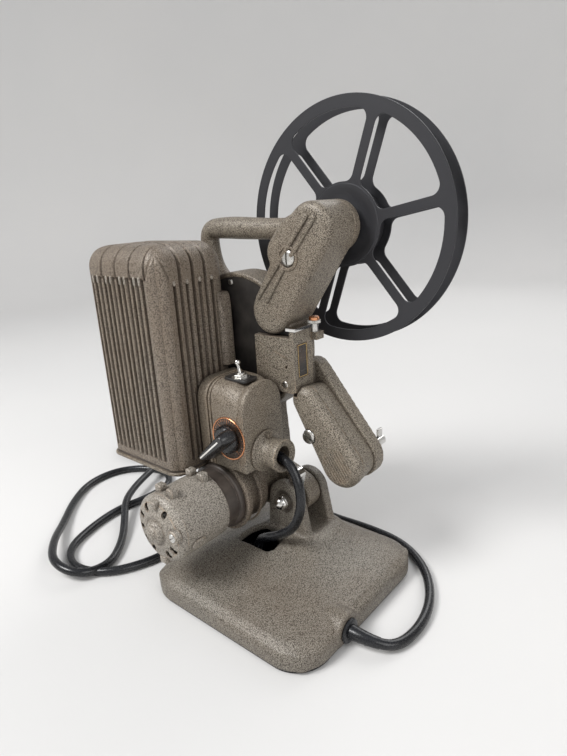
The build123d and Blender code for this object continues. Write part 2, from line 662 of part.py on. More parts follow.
def lens_barrel():
    """Projection lens barrel with a knurled front."""
    at = (FILM_Y, SHAFT[1])
    body = rod_x(at, 10, -58, -30) + rod_x(at, 11, -30, -22)
    body -= rod_x(at, 7.5, -59, -52) + rod_x(at, 8 + FIT, -52, -20)
    return body


def lens_glass():
    """Front and rear lens elements."""
    at = (FILM_Y, SHAFT[1])
    return [rod_x(at, 8, -52, -48), rod_x(at, 8, -30, -26)]


def reel_flange(low):
    """One stamped flange with six spokes and a rolled rim."""
    body = rod_y(FEED, REEL_R, low, low + FLANGE_T)
    window = rod_y((0, 0), 0.9 * REEL_R, -5, 5) - rod_y((0, 0), 31, -6, 6)
    half = 3.6
    step = 360 / REEL_SPOKES
    sector = plate_y([(0, 0), (120, 0), (120 * math.cos(math.radians(step)),
                                         120 * math.sin(math.radians(step)))], -5, 5)
    sector = Pos(half / math.tan(math.radians(step / 2)), 0, half) * sector
    window = window & sector
    window = fillet(window.edges().filter_by(Axis.Y), 7)
    for i in range(REEL_SPOKES):
        turned = Rot(0, -(SPOKE_ANGLE + i * step), 0) * window
        body -= Pos(FEED[0], low, FEED[1]) * turned
    return body - rod_y(FEED, SPINDLE_R + FIT, low - 1, low + 3)


def reel_flanges():
    """Both flanges of the 7 inch reel."""
    return [reel_flange(REEL_NEAR), reel_flange(REEL_FAR - FLANGE_T)]


def reel_hub():
    """Core between the flanges."""
    low, high = REEL_NEAR + FLANGE_T, REEL_FAR - FLANGE_T
    body = rod_y(FEED, HUB_R, low, high)
    body -= rod_y(FEED, HUB_R - 1.5, low + 1.5, high - 1.5)
    body += rod_y(FEED, 8, low, high)
    return body - rod_y(FEED, SPINDLE_R + FIT, 50, 90)


def spindle(at, pulley_low):
    """Spindle with its shoulder and the pulley inside the arm."""
    body = rod_y(at, SPINDLE_R, pulley_low - 3, SPINDLE_END - 4)
    body += rod_y(at, 11, ARM_BOSS_Y + FREE, REEL_NEAR - FREE / 2)
    return body + rod_y(at, 11, pulley_low, pulley_low + 7)


def feed_spindle():
    """Upper spindle with its bright tip."""
    body = spindle(FEED, 38) + rod_y(FEED, SPINDLE_R, SPINDLE_END - 4, SPINDLE_END)
    return body


def takeup_spindle():
    """Lower spindle with the slot that its latch turns in."""
    body = spindle(TAKEUP, 33) + rod_y(TAKEUP, SPINDLE_R, SPINDLE_END - 4, SPINDLE_END)
    x, z = TAKEUP
    body -= block((x - 1.3, x + 1.3), (SPINDLE_END - 12, SPINDLE_END + 1), (z - 6, z + 6))
    return body + rod_x((SPINDLE_END - 4, z), 0.9, x - 2, x + 2)


def takeup_latch():
    """Flip latch at the lower spindle's end that keeps the reel on."""
    x, z = TAKEUP
    y = SPINDLE_END - 4
    body = block((x - 1, x + 1), (y - 3, y + 3), (z - 3, z + 11))
    return body - rod_x((y, z), 0.9 + RUN, x - 2, x + 2)


def box_form(inset):
    """Control box outline, inset by a wall and open at its back."""
    (x0, x1), (y0, y1), (z0, z1) = BOX_X, BOX_Y, BOX_Z
    back = x0 - 1 if inset else x0
    body = block((back, x1 - inset), (y0 + inset, y1 - inset), (z0 + inset, z1 - inset))
    edges = body.edges().filter_by(Axis.X).group_by(Axis.Z)[-1]
    body = fillet(edges.sort_by(Axis.Y)[0], 18 - inset)
    return fillet(body.edges().filter_by(Axis.X).group_by(Axis.Z)[-1].sort_by(Axis.Y)[-1], 14 - inset)


def control_box():
    """Box with the speed dial, the switch and the lead socket."""
    body = box_form(0) - box_form(BOX_WALL)
    body -= rod_y(DIAL, 3 + RUN, BOX_Y[0] - 1, BOX_Y[0] + 4)
    body -= rod_z(TOGGLE, 5, BOX_Z[1] - 4, BOX_Z[1] + 1)
    return body - rod_x(SOCKET, CORD_D / 2 + FIT, BOX_X[1] - 4, BOX_X[1] + 1)


def control_box_back():
    """Rear shell of the control box."""
    low, high = BACK_X, BOX_X[0]
    body = block((low, high), (BOX_Y[0] + 3, BOX_Y[1]), (BOX_Z[0], BOX_Z[1] - 2))
    body = fillet(body.edges().filter_by(Axis.X).group_by(Axis.Z)[-1].sort_by(Axis.Y)[0], 16)
    inner = block((low + BOX_WALL, high + 1), (BOX_Y[0] + 6, BOX_Y[1] - 3), (BOX_Z[0] + 3, BOX_Z[1] - 14))
    return body - inner


def dial_plate():
    """Thin round dial round the knob."""
    body = rod_y(DIAL, DIAL_R, BOX_Y[0] - 1, BOX_Y[0])
    return body - rod_y(DIAL, 3 + RUN, BOX_Y[0] - 2, BOX_Y[0] + 1)


def speed_knob():
    """Bar knob with its shaft."""
    face = BOX_Y[0] - 1.5
    body = rod_y(DIAL, KNOB_R, face - 4, face) + rod_y(DIAL, 3, face, BOX_Y[0] + 9)
    tip = (DIAL[0] - 20, DIAL[1] - 17, 3.5)
    tail = (DIAL[0] + 5, DIAL[1] + 4, 5)
    return body + link_y(tail, tip, face - 14, face - 4)


def toggle_plate():
    """Switch plate with its threaded ring."""
    (x, y), top = TOGGLE, BOX_Z[1]
    body = upright(block((x - 12, x + 11), (y - 5, y + 8), (top, top + 1.5)), 2)
    body += rod_z(TOGGLE, 5, top + 1.5, top + 4) + rod_z(TOGGLE, 5 - FIT, top - 10, top)
    return body - rod_z(TOGGLE, 2.9, top - 5, top + 5)


def toggle_lever():
    """Switch lever with a ball tip, leaning to its off side."""
    top = BOX_Z[1]
    lever = Sphere(2.5) + Pos(0, 0, 6) * Cylinder(1.3, 12) + Pos(0, 0, 12) * Sphere(2.3)
    return Pos(*TOGGLE, top + 0.5) * Rot(0, -12, 0) * lever


def cord_socket():
    """Round socket on the box where the lead from the base ends."""
    x = BOX_X[1]
    body = rod_x(SOCKET, 17, x, x + 3) + rod_x(SOCKET, 13, x + 3, x + 20.5)
    body -= rod_x(SOCKET, 8, x + 9, x + 22)
    return body - rod_x(SOCKET, CORD_D / 2 + FIT, x - 1, x + 22)


def tube(points, radii, diameter):
    """Round tube along straight runs and tangent arcs."""
    route = FilletPolyline(*points, radius=radii)
    return sweep(Plane(origin=route @ 0, z_dir=route % 0) * Circle(diameter / 2), path=route), route.length


def cord_radii(points, share=0.45):
    """Largest arc at each corner of a route that its two runs allow."""
    spots = [Vector(*p) for p in points]
    radii = []
    for a, b, c in zip(spots, spots[1:], spots[2:]):
        turn = math.radians((b - a).get_angle(c - b))
        radii.append(share * min((b - a).length, (c - b).length) / math.tan(turn / 2))
    return radii


LEAD_ROUTE = [(-8, -5, 118), (11, -5, 118), (24, -6, 104), (29, -8, 82), (21, -9, 60), (3, -9, 46),
              (-12, -7, 38), (-23, -5, 31), (-26, -5, 20)]

# Free mains lead: gland, round the back, two loops on the left, then the coil
MAINS_ROUTE = [(86, -29, 10), (101, -29, 10), (116, -17, 4), (120, 12, 3.85), (112, 44, 3.85),
               (92, 74, 3.85), (60, 95, 3.85), (22, 98, 3.85), (-20, 94, 3.85), (-60, 98, 3.85),
               (-92, 86, 3.85), (-108, 54, 3.85), (-110, 14, 3.85), (-105, -24, 3.85), (-109, -60, 3.85),
               (-126, -92, 3.85), (-158, -107, 3.85), (-189, -94, 3.85), (-205, -60, 3.85),
               (-213, -22, 3.85), (-205, 14, 3.85), (-211, 46, 3.85), (-238, 62, 3.85), (-270, 54, 3.85),
               (-294, 28, 3.85), (-293, -10, 3.85), (-268, -44, 3.85), (-234, -74, 5),
               (-200, -102, 12.5), (-168, -120, 13.5), (-139, -112, 8), (-135, -84, 3.85),
               (-157, -56, 3.85), (-184, -34, 8), (-206, -18, 12.5), (-224, 6, 12.5), (-238, 34, 12.5),
               (-250, 60, 12.5), (-262, 80, 6), (-268, 96, 3.85), (-268, 112.5, 3.85)]

# Put-away coil: two layers of half turns that spiral in, climb and spiral out
COIL_AT = (-316.0, 120.0)
COIL_R = 48.0
COIL_HALF_TURNS = 4
COIL_GAP = 0.6
COIL_STEP_IN = 2.8
COIL_STEP_OUT = 4.6
COIL_TAIL = 22.5


def coil_ends():
    """Signed X reach and layer at the end of each half turn."""
    pitch = CORD_D + COIL_GAP
    low, high = CORD_D / 2 + 0.1, CORD_D * 1.5 + COIL_GAP
    ends = [(COIL_R - i * pitch / 2, low) for i in range(COIL_HALF_TURNS + 1)]
    inner = COIL_R - COIL_HALF_TURNS * pitch / 2
    ends += [(inner - COIL_STEP_IN, high)]
    ends += [(inner + COIL_STEP_OUT + i * pitch / 2, high) for i in range(COIL_HALF_TURNS + 1)]
    return [((-1) ** i * reach, z) for i, (reach, z) in enumerate(ends)]


def cord_coil():
    """Wound cord as one tube of half circles, entered and left along +Y."""
    x, y = COIL_AT
    ends = coil_ends()
    edges = [Line((x + ends[0][0], y - CORD_D, ends[0][1]), (x + ends[0][0], y, ends[0][1]))]
    for (a, za), (b, zb) in zip(ends, ends[1:]):
        side = 1 if a > 0 else -1
        middle = (x + (a + b) / 2, y + side * abs(a - b) / 2, (za + zb) / 2)
        edges.append(ThreePointArc((x + a, y, za), middle, (x + b, y, zb)))
    last, z = ends[-1]
    edges.append(Line((x + last, y, z), (x + last, y + COIL_TAIL, z)))
    path = Wire(edges)
    return sweep(Plane(origin=path @ 0, z_dir=path % 0) * Circle(CORD_D / 2), path=path), path


def least_coil_gap(path):
    """Least gap of the coil to itself, measured on points along its middle line."""
    count = 900
    points = [path @ (i / count) for i in range(count + 1)]
    skip = int(count * 2.5 * CORD_D / path.length) + 1
    least = min((points[i] - points[j]).length for i in range(count) for j in range(i + skip, count))
    return least - CORD_D


def plug_axis():
    """X, face Y and Z of the plug, in line with the coil's end."""
    reach, z = coil_ends()[-1]
    return COIL_AT[0] + reach, COIL_AT[1] + COIL_TAIL, z


def mains_plug():
    """Round moulded plug on the floor beside the coil."""
    x, y, z = plug_axis()
    body = rod_y((x, z), 5.5, y, y + 14) + rod_y((x, z), z - 0.1, y + 14, y + 34)
    return fillet(body.edges().group_by(Axis.Y)[-1], 2)


def plug_pins():
    """Two flat pins."""
    x, y, z = plug_axis()
    return [block((x + s * 6.35 - 0.75, x + s * 6.35 + 0.75), (y + 34, y + 51), (z - 3.2, z + 3.2))
            for s in (-1, 1)]


def save(name, solids):
    """Write one sub-part."""
    shapes = solids if isinstance(solids, list) else [solids]
    parts = [s for shape in shapes for s in shape.solids()]
    export_step(Compound(children=parts) if len(parts) > 1 else parts[0], f"parts/{name}.step")
    return parts


def build():
    """Make every sub-part and write it."""
    os.makedirs("parts", exist_ok=True)
    save("base_casting", base_casting())
    save("rubber_pad", rubber_pad())
    end = BASE_X / 2
    gland = rod_x(GLAND, GLAND_R - FIT, end - 20, end) + rod_x(GLAND, GLAND_R + 1.5, end, end + 2.5)
    save("cord_gland", gland)
    cord, length = tube(MAINS_ROUTE, cord_radii(MAINS_ROUTE), CORD_D)
    print("mains cord", round(length), "mm, radii", [round(r) for r in cord_radii(MAINS_ROUTE)])
    save("mains_cord", cord)
    coil, path = cord_coil()
    print("coil", round(path.length), "mm, least gap", round(least_coil_gap(path), 2))
    save("cord_coil", coil)
    save("mains_plug", mains_plug())
    save("plug_pins", plug_pins())
    lead, length = tube(LEAD_ROUTE, cord_radii(LEAD_ROUTE), CORD_D)
    print("inner lead", round(length), "mm, radii", [round(r) for r in cord_radii(LEAD_ROUTE)])
    save("inner_lead", lead)
    save("main_casting", main_casting())
    save("front_plate", front_plate() + knob_bracket() - rod_z(FRAMER, 3.5 + RUN, 199, 207))
    save("motor_pulley", grooved_pulley(MOTOR, MOTOR_PULLEY_R, MOTOR_SHAFT_R))
    save("main_pulley", grooved_pulley(SHAFT, MAIN_PULLEY_R, MAIN_SHAFT_R))
    save("feed_sprocket", sprocket(1))
    save("takeup_sprocket", sprocket(-1))
    makers = (tilt_bolt, clamp_lever, housing_cover, condenser_lens, side_plate, gate_cap,
              framing_knob, upper_arm, arm_back_cover, lower_arm_cover, slotted_screws, carry_handle,
              lamphouse_shell, lamp_tray, lamp_socket, projection_lamp, reflector, mirror_box,
              beam_mirror, motor_housing, motor_end_cap, motor_flange, motor_stator, motor_rotor,
              blower_fan, drive_belt, main_shaft, shutter_disc, idler_gear, aperture_plate, film_claw,
              lens_carrier, lens_barrel, lens_glass, reel_flanges, reel_hub, feed_spindle,
              takeup_spindle, takeup_latch, control_box, control_box_back, dial_plate, speed_knob,
              toggle_plate, toggle_lever, cord_socket)
    for make in makers:
        save(make.__name__, make())


if __name__ == "__main__":
    build()
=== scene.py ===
"""Silent 16 mm film projector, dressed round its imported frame.

Sizes are millimetres, as on a drawing, and Shape.mesh() hands every mesh over in metres.
All pieces lie in the frame's own axes: +X to the screen, +Y to the film side, +Z up.
"""

import json
import logging
import math
import random
from dataclasses import dataclass, field
from enum import Enum
from typing import Callable

import bmesh
import bpy
from mathutils import Matrix, Vector


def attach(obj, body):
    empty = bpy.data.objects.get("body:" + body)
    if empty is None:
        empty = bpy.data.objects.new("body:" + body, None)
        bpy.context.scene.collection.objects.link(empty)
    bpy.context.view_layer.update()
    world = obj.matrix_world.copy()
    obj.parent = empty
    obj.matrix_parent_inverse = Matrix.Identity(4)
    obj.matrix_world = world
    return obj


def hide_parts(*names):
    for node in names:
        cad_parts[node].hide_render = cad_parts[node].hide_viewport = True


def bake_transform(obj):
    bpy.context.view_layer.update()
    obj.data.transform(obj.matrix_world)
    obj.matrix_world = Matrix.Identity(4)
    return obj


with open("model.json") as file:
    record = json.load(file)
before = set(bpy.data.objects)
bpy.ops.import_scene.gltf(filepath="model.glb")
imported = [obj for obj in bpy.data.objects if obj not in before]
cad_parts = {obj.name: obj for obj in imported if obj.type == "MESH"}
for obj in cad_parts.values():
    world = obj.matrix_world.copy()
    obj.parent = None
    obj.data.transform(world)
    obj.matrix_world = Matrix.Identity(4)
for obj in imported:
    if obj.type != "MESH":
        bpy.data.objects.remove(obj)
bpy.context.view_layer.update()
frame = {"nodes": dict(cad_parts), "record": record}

LOG = logging.getLogger("projector")
MM = 0.001
# Metres within which two points are one, and the radius in millimetres that ends a turned piece
MERGE = 1e-6
POINTED = 0.02

Flat = tuple[float, float]
Point = tuple[float, float, float]
Colour = tuple[float, float, float]

# Axes of the machine, X and Z in millimetres
TILT_PIVOT: Flat = (-4.0, 67.5)
MOTOR_AXIS: Flat = (-48.5, 73.0)
SHUTTER_AXIS: Flat = (-57.5, 192.0)
FEED_AXIS: Flat = (24.5, 285.0)
TAKEUP_AXIS: Flat = (44.5, 107.0)
DIAL_AXIS: Flat = (-25.5, 132.0)


class Way(Enum):
    """Axis that an outline is pushed along or turned about."""

    X = "x"
    Y = "y"
    Z = "z"

    def point(self, u: float, v: float, along: float) -> Point:
        """Point of the row frame for flat coordinates and a place along the axis."""
        if self is Way.X:
            return along, u, v
        if self is Way.Y:
            return u, along, v
        return u, v, along


class Cut(Enum):
    """What a second solid does to the first."""

    AWAY = "DIFFERENCE"
    ADD = "UNION"


def circle(centre: Flat, radius: float, steps: int = 48) -> list[Flat]:
    """Round outline."""
    turn = 2 * math.pi / steps
    return [(centre[0] + radius * math.cos(i * turn), centre[1] + radius * math.sin(i * turn))
            for i in range(steps)]


def arc(centre: Flat, radius: float, start: float, end: float, steps: int) -> list[Flat]:
    """Points of an arc, with its angles in degrees."""
    spots = []
    for i in range(steps + 1):
        angle = math.radians(start + (end - start) * i / steps)
        spots.append((centre[0] + radius * math.cos(angle), centre[1] + radius * math.sin(angle)))
    return spots


def capsule(first: Flat, first_r: float, second: Flat, second_r: float, steps: int = 20) -> list[Flat]:
    """Outline round two circles and their common tangents, anticlockwise.

    Args:
        first: Centre of the first circle.
        first_r: Its radius.
        second: Centre of the second circle.
        second_r: Its radius.
        steps: Segments in each round end.

    Returns:
        The outline's points.
    """
    run = math.dist(first, second)
    heading = math.degrees(math.atan2(second[1] - first[1], second[0] - first[0]))
    spread = math.degrees(math.acos((first_r - second_r) / run))
    far = arc(second, second_r, heading - spread, heading + spread, steps)
    near = arc(first, first_r, heading + spread, heading + 360 - spread, steps)
    return far + near


def rounded(low: Flat, high: Flat, radii: tuple[float, float, float, float], steps: int = 8,
            side: int = 6) -> list[Flat]:
    """Rectangle with four corner radii, anticlockwise from its low right corner.

    Args:
        low: Least corner.
        high: Greatest corner.
        radii: Radii at low right, high right, high left and low left.
        steps: Segments in each corner.
        side: Segments in each side.

    Returns:
        The outline's points.
    """
    centres = [(high[0] - radii[0], low[1] + radii[0]), (high[0] - radii[1], high[1] - radii[1]),
               (low[0] + radii[2], high[1] - radii[2]), (low[0] + radii[3], low[1] + radii[3])]
    corners = [arc(c, r, -90 + 90 * i, 90 * i, steps) for i, (c, r) in enumerate(zip(centres, radii))]
    spots: list[Flat] = []
    for corner, following in zip(corners, corners[1:] + corners[:1]):
        spots += corner
        (u0, v0), (u1, v1) = corner[-1], following[0]
        spots += [(u0 + (u1 - u0) * i / side, v0 + (v1 - v0) * i / side) for i in range(1, side)]
    return spots


def star_union(outlines: list[list[Flat]], centre: Flat, steps: int = 120) -> list[Flat]:
    """Outer outline of several that all lie round one centre, its inner corners eased.

    Args:
        outlines: Closed outlines.
        centre: Point that sees every part of the outer outline.
        steps: Points in the result.

    Returns:
        The joined outline's points.
    """
    reaches = []
    angles = [2 * math.pi * i / steps for i in range(steps)]
    for angle in angles:
        along = (math.cos(angle), math.sin(angle))
        best = 0.0
        for outline in outlines:
            for a, b in zip(outline, outline[1:] + outline[:1]):
                edge = (b[0] - a[0], b[1] - a[1])
                cross = along[0] * edge[1] - along[1] * edge[0]
                if abs(cross) < 1e-9:
                    continue
                off = (a[0] - centre[0], a[1] - centre[1])
                reach = (off[0] * edge[1] - off[1] * edge[0]) / cross
                share = (off[0] * along[1] - off[1] * along[0]) / cross
                if reach > best and -1e-6 <= share <= 1 + 1e-6:
                    best = reach
        reaches.append(best)
    for _ in range(2):
        reaches = [(reaches[i - 1] + 2 * reaches[i] + reaches[(i + 1) % steps]) / 4
                   for i in range(steps)]
    return [(centre[0] + r * math.cos(a), centre[1] + r * math.sin(a)) for a, r in zip(angles, reaches)]


def inset(outline: list[Flat], by: float) -> list[Flat]:
    """Anticlockwise outline moved inwards along its corners' normals."""
    moved = []
    for (a0, b0), (u, v), (a1, b1) in zip(outline[-1:] + outline[:-1], outline, outline[1:] + outline[:1]):
        before = Vector((u - a0, v - b0))
        after = Vector((a1 - u, b1 - v))
        along = before.normalized() + after.normalized()
        if along.length < 1e-9:
            moved.append((u, v))
            continue
        along.normalize()
        moved.append((u - along.y * by, v + along.x * by))
    return moved


def soft_edge(radius: float, face: float, into: float, steps: int = 5) -> list[Flat]:
    """Rounded rim of a pushed outline, as pairs of inset and place along its axis.

    Args:
        radius: Radius of the rim.
        face: Place of the flat face along the axis.
        into: +1 or -1, the way from the face into the piece.
        steps: Segments of the rim.

    Returns:
        Pairs from the face to the side.
    """
    pairs = []
    for i in range(steps + 1):
        angle = math.pi / 2 * i / steps
        pairs.append((radius * (1 - math.sin(angle)), face + into * radius * (1 - math.cos(angle))))
    return pairs


def seated(seat: float, pairs: list[Flat]) -> list[Flat]:
    """Profile whose places along the axis are counted from a seat."""
    return [(size, seat + place) for size, place in pairs]


def pad(at: Flat, low: Flat, high: Flat, radius: float) -> list[Flat]:
    """Small rectangle with round corners, its least and greatest corners counted from a place."""
    return rounded((at[0] + low[0], at[1] + low[1]), (at[0] + high[0], at[1] + high[1]), (radius,) * 4, 3, 1)


def stroke(start: Vector, end: Vector, side: Vector) -> list[Flat]:
    """Thin rectangle along a line, anticlockwise, with half its width given to the left."""
    return [tuple(spot) for spot in (start - side, end - side, end + side, start + side)]


def turned(way: Way, centre: Flat, profile: list[Flat], steps: int) -> list[list[Point]]:
    """Rings of a turned profile of (radius, place) pairs."""
    return [[way.point(u, v, along) for u, v in circle(centre, max(r, POINTED), steps)]
            for r, along in profile]


@dataclass
class Shape:
    """Points and faces gathered in millimetres."""

    points: list[Point] = field(default_factory=list)
    faces: list[tuple[int, ...]] = field(default_factory=list)

    def ring(self, points: list[Point]) -> list[int]:
        """Adds points and gives their numbers."""
        first = len(self.points)
        self.points += points
        return list(range(first, len(self.points)))

    def band(self, one: list[int], two: list[int]) -> None:
        """Quads between two closed rings of like count."""
        count = len(one)
        for i in range(count):
            j = (i + 1) % count
            self.faces.append((one[i], one[j], two[j], two[i]))

    def chain(self, rings: list[list[Point]]) -> list[list[int]]:
        """Adds rings with a skin from each to the next, and gives their numbers."""
        numbers = [self.ring(r) for r in rings]
        for one, two in zip(numbers, numbers[1:]):
            self.band(one, two)
        return numbers

    def stack(self, rings: list[list[Point]]) -> "Shape":
        """Skin over rings, closed at both ends."""
        numbers = self.chain(rings)
        self.faces.append(tuple(numbers[0]))
        self.faces.append(tuple(reversed(numbers[-1])))
        return self

    def loop(self, rings: list[list[Point]]) -> "Shape":
        """Skin over rings whose last joins the first, as round a hollow ring."""
        numbers = self.chain(rings)
        self.band(numbers[-1], numbers[0])
        return self

    def cup(self, outer: list[list[Point]], inner: list[list[Point]]) -> "Shape":
        """Skin of a cup: outer rings from its rim to the closed end, inner ones from that end back."""
        outside = self.chain(outer)
        self.faces.append(tuple(outside[-1]))
        inside = self.chain(inner)
        self.band(inside[-1], outside[0])
        self.faces.append(tuple(inside[0]))
        return self

    def push(self, way: Way, outline: list[Flat], profile: list[Flat]) -> "Shape":
        """Solid along an axis from an outline and (inset, place) pairs."""
        return self.stack([[way.point(u, v, along) for u, v in inset(outline, by)] for by, along in profile])

    def slab(self, way: Way, outline: list[Flat], low: float, high: float) -> "Shape":
        """Solid along an axis with one outline from end to end."""
        return self.push(way, outline, [(0, low), (0, high)])

    def turn(self, way: Way, centre: Flat, profile: list[Flat], steps: int = 56) -> "Shape":
        """Turned solid from (radius, place) pairs, closed at its ends."""
        return self.stack(turned(way, centre, profile, steps))

    def hollow_turn(self, way: Way, centre: Flat, profile: list[Flat], steps: int = 56) -> "Shape":
        """Turned ring from a closed profile of (radius, place) pairs."""
        return self.loop(turned(way, centre, profile, steps))

    def tube(self, path: list[Vector], radii: list[float], steps: int = 14) -> "Shape":
        """Round tube along points in millimetres, with its own radius at each."""
        rings = []
        angles = [2 * math.pi * k / steps for k in range(steps)]
        side = Vector((0.0, 0.0, 1.0))
        for i, spot in enumerate(path):
            along = (path[min(i + 1, len(path) - 1)] - path[max(i - 1, 0)]).normalized()
            side = side - along * side.dot(along)
            if side.length < 1e-3:
                side = along.orthogonal()
            side.normalize()
            other = along.cross(side)
            rings.append([tuple(spot + (side * math.cos(a) + other * math.sin(a)) * radii[i])
                          for a in angles])
        return self.stack(rings)

    def mesh(self, name: str) -> bpy.types.Mesh:
        """Mesh in metres with its faces turned outwards."""
        mesh = bpy.data.meshes.new(name)
        mesh.from_pydata([tuple(c * MM for c in p) for p in self.points], [], self.faces)
        work = bmesh.new()
        work.from_mesh(mesh)
        bmesh.ops.recalc_face_normals(work, faces=work.faces)
        work.to_mesh(mesh)
        work.free()
        return mesh

    def raw(self, name: str) -> bpy.types.Object:
        """Object in the scene that rides on nothing yet."""
        return placed(name, self.mesh(name))


def placed(name: str, data: bpy.types.ID) -> bpy.types.Object:
    """New object of the scene on some data."""
    thing = bpy.data.objects.new(name, data)
    bpy.context.scene.collection.objects.link(thing)
    return thing


def settle(thing: bpy.types.Object) -> bpy.types.Object:
    """Puts an object's modifiers into its mesh."""
    graph = bpy.context.evaluated_depsgraph_get()
    graph.update()
    made = bpy.data.meshes.new_from_object(thing.evaluated_get(graph))
    thing.modifiers.clear()
    thing.data = made
    return thing


def combine(thing: bpy.types.Object, other: Shape, cut: Cut) -> bpy.types.Object:
    """Adds another solid to an object, or takes it away."""
    tool = other.raw("tool")
    step = thing.modifiers.new("combine", "BOOLEAN")
    step.operation = cut.value
    step.solver = "EXACT"
    step.object = tool
    settle(thing)
    bpy.data.objects.remove(tool)
    return thing


def soften(thing: bpy.types.Object, voxel: float, passes: int) -> bpy.types.Object:
    """Rounds every edge as sand casting does.

    Args:
        thing: Object with a closed mesh.
        voxel: Size of the cells that the skin is drawn through, in millimetres.
        passes: How often the skin is eased.

    Returns:
        The same object.
    """
    step = thing.modifiers.new("skin", "REMESH")
    step.mode = "VOXEL"
    step.voxel_size = voxel * MM
    ease = thing.modifiers.new("ease", "SMOOTH")
    ease.factor = 0.5
    ease.iterations = passes
    return settle(thing)


def node_copy(node: str) -> bpy.types.Object:
    """Free copy of a frame node's mesh with its doubled points joined."""
    source = frame["nodes"][node]
    mesh = bpy.data.meshes.new(node + "_cast")
    work = bmesh.new()
    work.from_mesh(source.data)
    bmesh.ops.remove_doubles(work, verts=work.verts, dist=MERGE)
    work.to_mesh(mesh)
    work.free()
    return placed(node + "_cast", mesh)


def weld(thing: bpy.types.Object) -> None:
    """Gives an object the modifier that joins doubled points."""
    step = thing.modifiers.new("weld", "WELD")
    step.merge_threshold = MERGE


class Graph:
    """Shader nodes of one material, laid in the object's own coordinates."""

    def __init__(self, name: str) -> None:
        """Starts a material with one Principled shader."""
        self.material = bpy.data.materials.new(name)
        self.material.use_nodes = True
        self.tree = self.material.node_tree
        self.tree.nodes.clear()
        self.shader = self.node("ShaderNodeBsdfPrincipled")
        out = self.node("ShaderNodeOutputMaterial")
        self.link(self.shader.outputs[0], out.inputs["Surface"])
        self.place = self.node("ShaderNodeTexCoord").outputs["Object"]

    def node(self, kind: str, **values: float) -> bpy.types.Node:
        """Adds a node and sets its inputs by name."""
        made = self.tree.nodes.new(kind)
        for name, value in values.items():
            made.inputs[name.replace("_", " ")].default_value = value
        return made

    def link(self, source: bpy.types.NodeSocket, target: bpy.types.NodeSocket) -> None:
        """Joins two sockets."""
        self.tree.links.new(source, target)

    def stretched(self, scale: Point) -> bpy.types.NodeSocket:
        """The place, scaled per axis."""
        mapping = self.node("ShaderNodeMapping")
        mapping.inputs["Scale"].default_value = scale
        self.link(self.place, mapping.inputs["Vector"])
        return mapping.outputs[0]

    def noise(self, scale: float, detail: float = 3.0, place: bpy.types.NodeSocket | None = None
              ) -> bpy.types.NodeSocket:
        """Noise with so many waves to the metre."""
        made = self.node("ShaderNodeTexNoise", Scale=scale, Detail=detail)
        self.link(place or self.place, made.inputs["Vector"])
        return made.outputs["Fac"]

    def cells(self, scale: float) -> bpy.types.NodeSocket:
        """Distance to the nearest of so many grains to the metre."""
        made = self.node("ShaderNodeTexVoronoi", Scale=scale)
        self.link(self.place, made.inputs["Vector"])
        return made.outputs["Distance"]

    def spread(self, source: bpy.types.NodeSocket, low: float, high: float, to_low: float = 0.0,
               to_high: float = 1.0) -> bpy.types.NodeSocket:
        """Value taken from one range to another and held there."""
        made = self.node("ShaderNodeMapRange", To_Min=to_low, To_Max=to_high)
        made.inputs["From Min"].default_value = low
        made.inputs["From Max"].default_value = high
        self.link(source, made.inputs["Value"])
        return made.outputs[0]

    def maths(self, operation: str, one: bpy.types.NodeSocket, two: bpy.types.NodeSocket | float
              ) -> bpy.types.NodeSocket:
        """Arithmetic on a socket and a socket or number."""
        made = self.node("ShaderNodeMath")
        made.operation = operation
        self.link(one, made.inputs[0])
        if isinstance(two, float):
            made.inputs[1].default_value = two
        else:
            self.link(two, made.inputs[1])
        return made.outputs[0]

    def blend(self, share: bpy.types.NodeSocket, one: "Colour | bpy.types.NodeSocket",
              two: "Colour | bpy.types.NodeSocket") -> bpy.types.NodeSocket:
        """Mix of two colours by a share."""
        made = self.node("ShaderNodeMix")
        made.data_type = "RGBA"
        self.link(share, made.inputs["Factor"])
        # Inputs 6 and 7 and output 2 are the node's colours
        for slot, colour in ((6, one), (7, two)):
            if isinstance(colour, tuple):
                made.inputs[slot].default_value = (*colour, 1.0)
            else:
                self.link(colour, made.inputs[slot])
        return made.outputs[2]

    def edges(self, radius: float) -> bpy.types.NodeSocket:
        """Mask of outer and inner edges within so many millimetres."""
        bevel = self.node("ShaderNodeBevel")
        bevel.samples = 4
        bevel.inputs["Radius"].default_value = radius * MM
        shape = self.node("ShaderNodeNewGeometry")
        dot = self.node("ShaderNodeVectorMath")
        dot.operation = "DOT_PRODUCT"
        self.link(bevel.outputs[0], dot.inputs[0])
        self.link(shape.outputs["Normal"], dot.inputs[1])
        return self.spread(dot.outputs["Value"], 0.99, 0.86)

    def shelter(self, reach: float) -> bpy.types.NodeSocket:
        """How open a place is to what lies round it, from 0 in a crevice to 1."""
        made = self.node("ShaderNodeAmbientOcclusion")
        made.samples = 6
        made.inputs["Distance"].default_value = reach * MM
        return made.outputs["AO"]

    def bump(self, height: bpy.types.NodeSocket, depth: float, strength: float = 1.0) -> None:
        """Relief of so many millimetres on the shader."""
        made = self.node("ShaderNodeBump", Strength=strength, Distance=depth * MM)
        self.link(height, made.inputs["Height"])
        self.link(made.outputs[0], self.shader.inputs["Normal"])

    def paint(self, colour: bpy.types.NodeSocket, rough: bpy.types.NodeSocket) -> None:
        """Colour and roughness of the shader."""
        self.link(colour, self.shader.inputs["Base Color"])
        self.link(rough, self.shader.inputs["Roughness"])


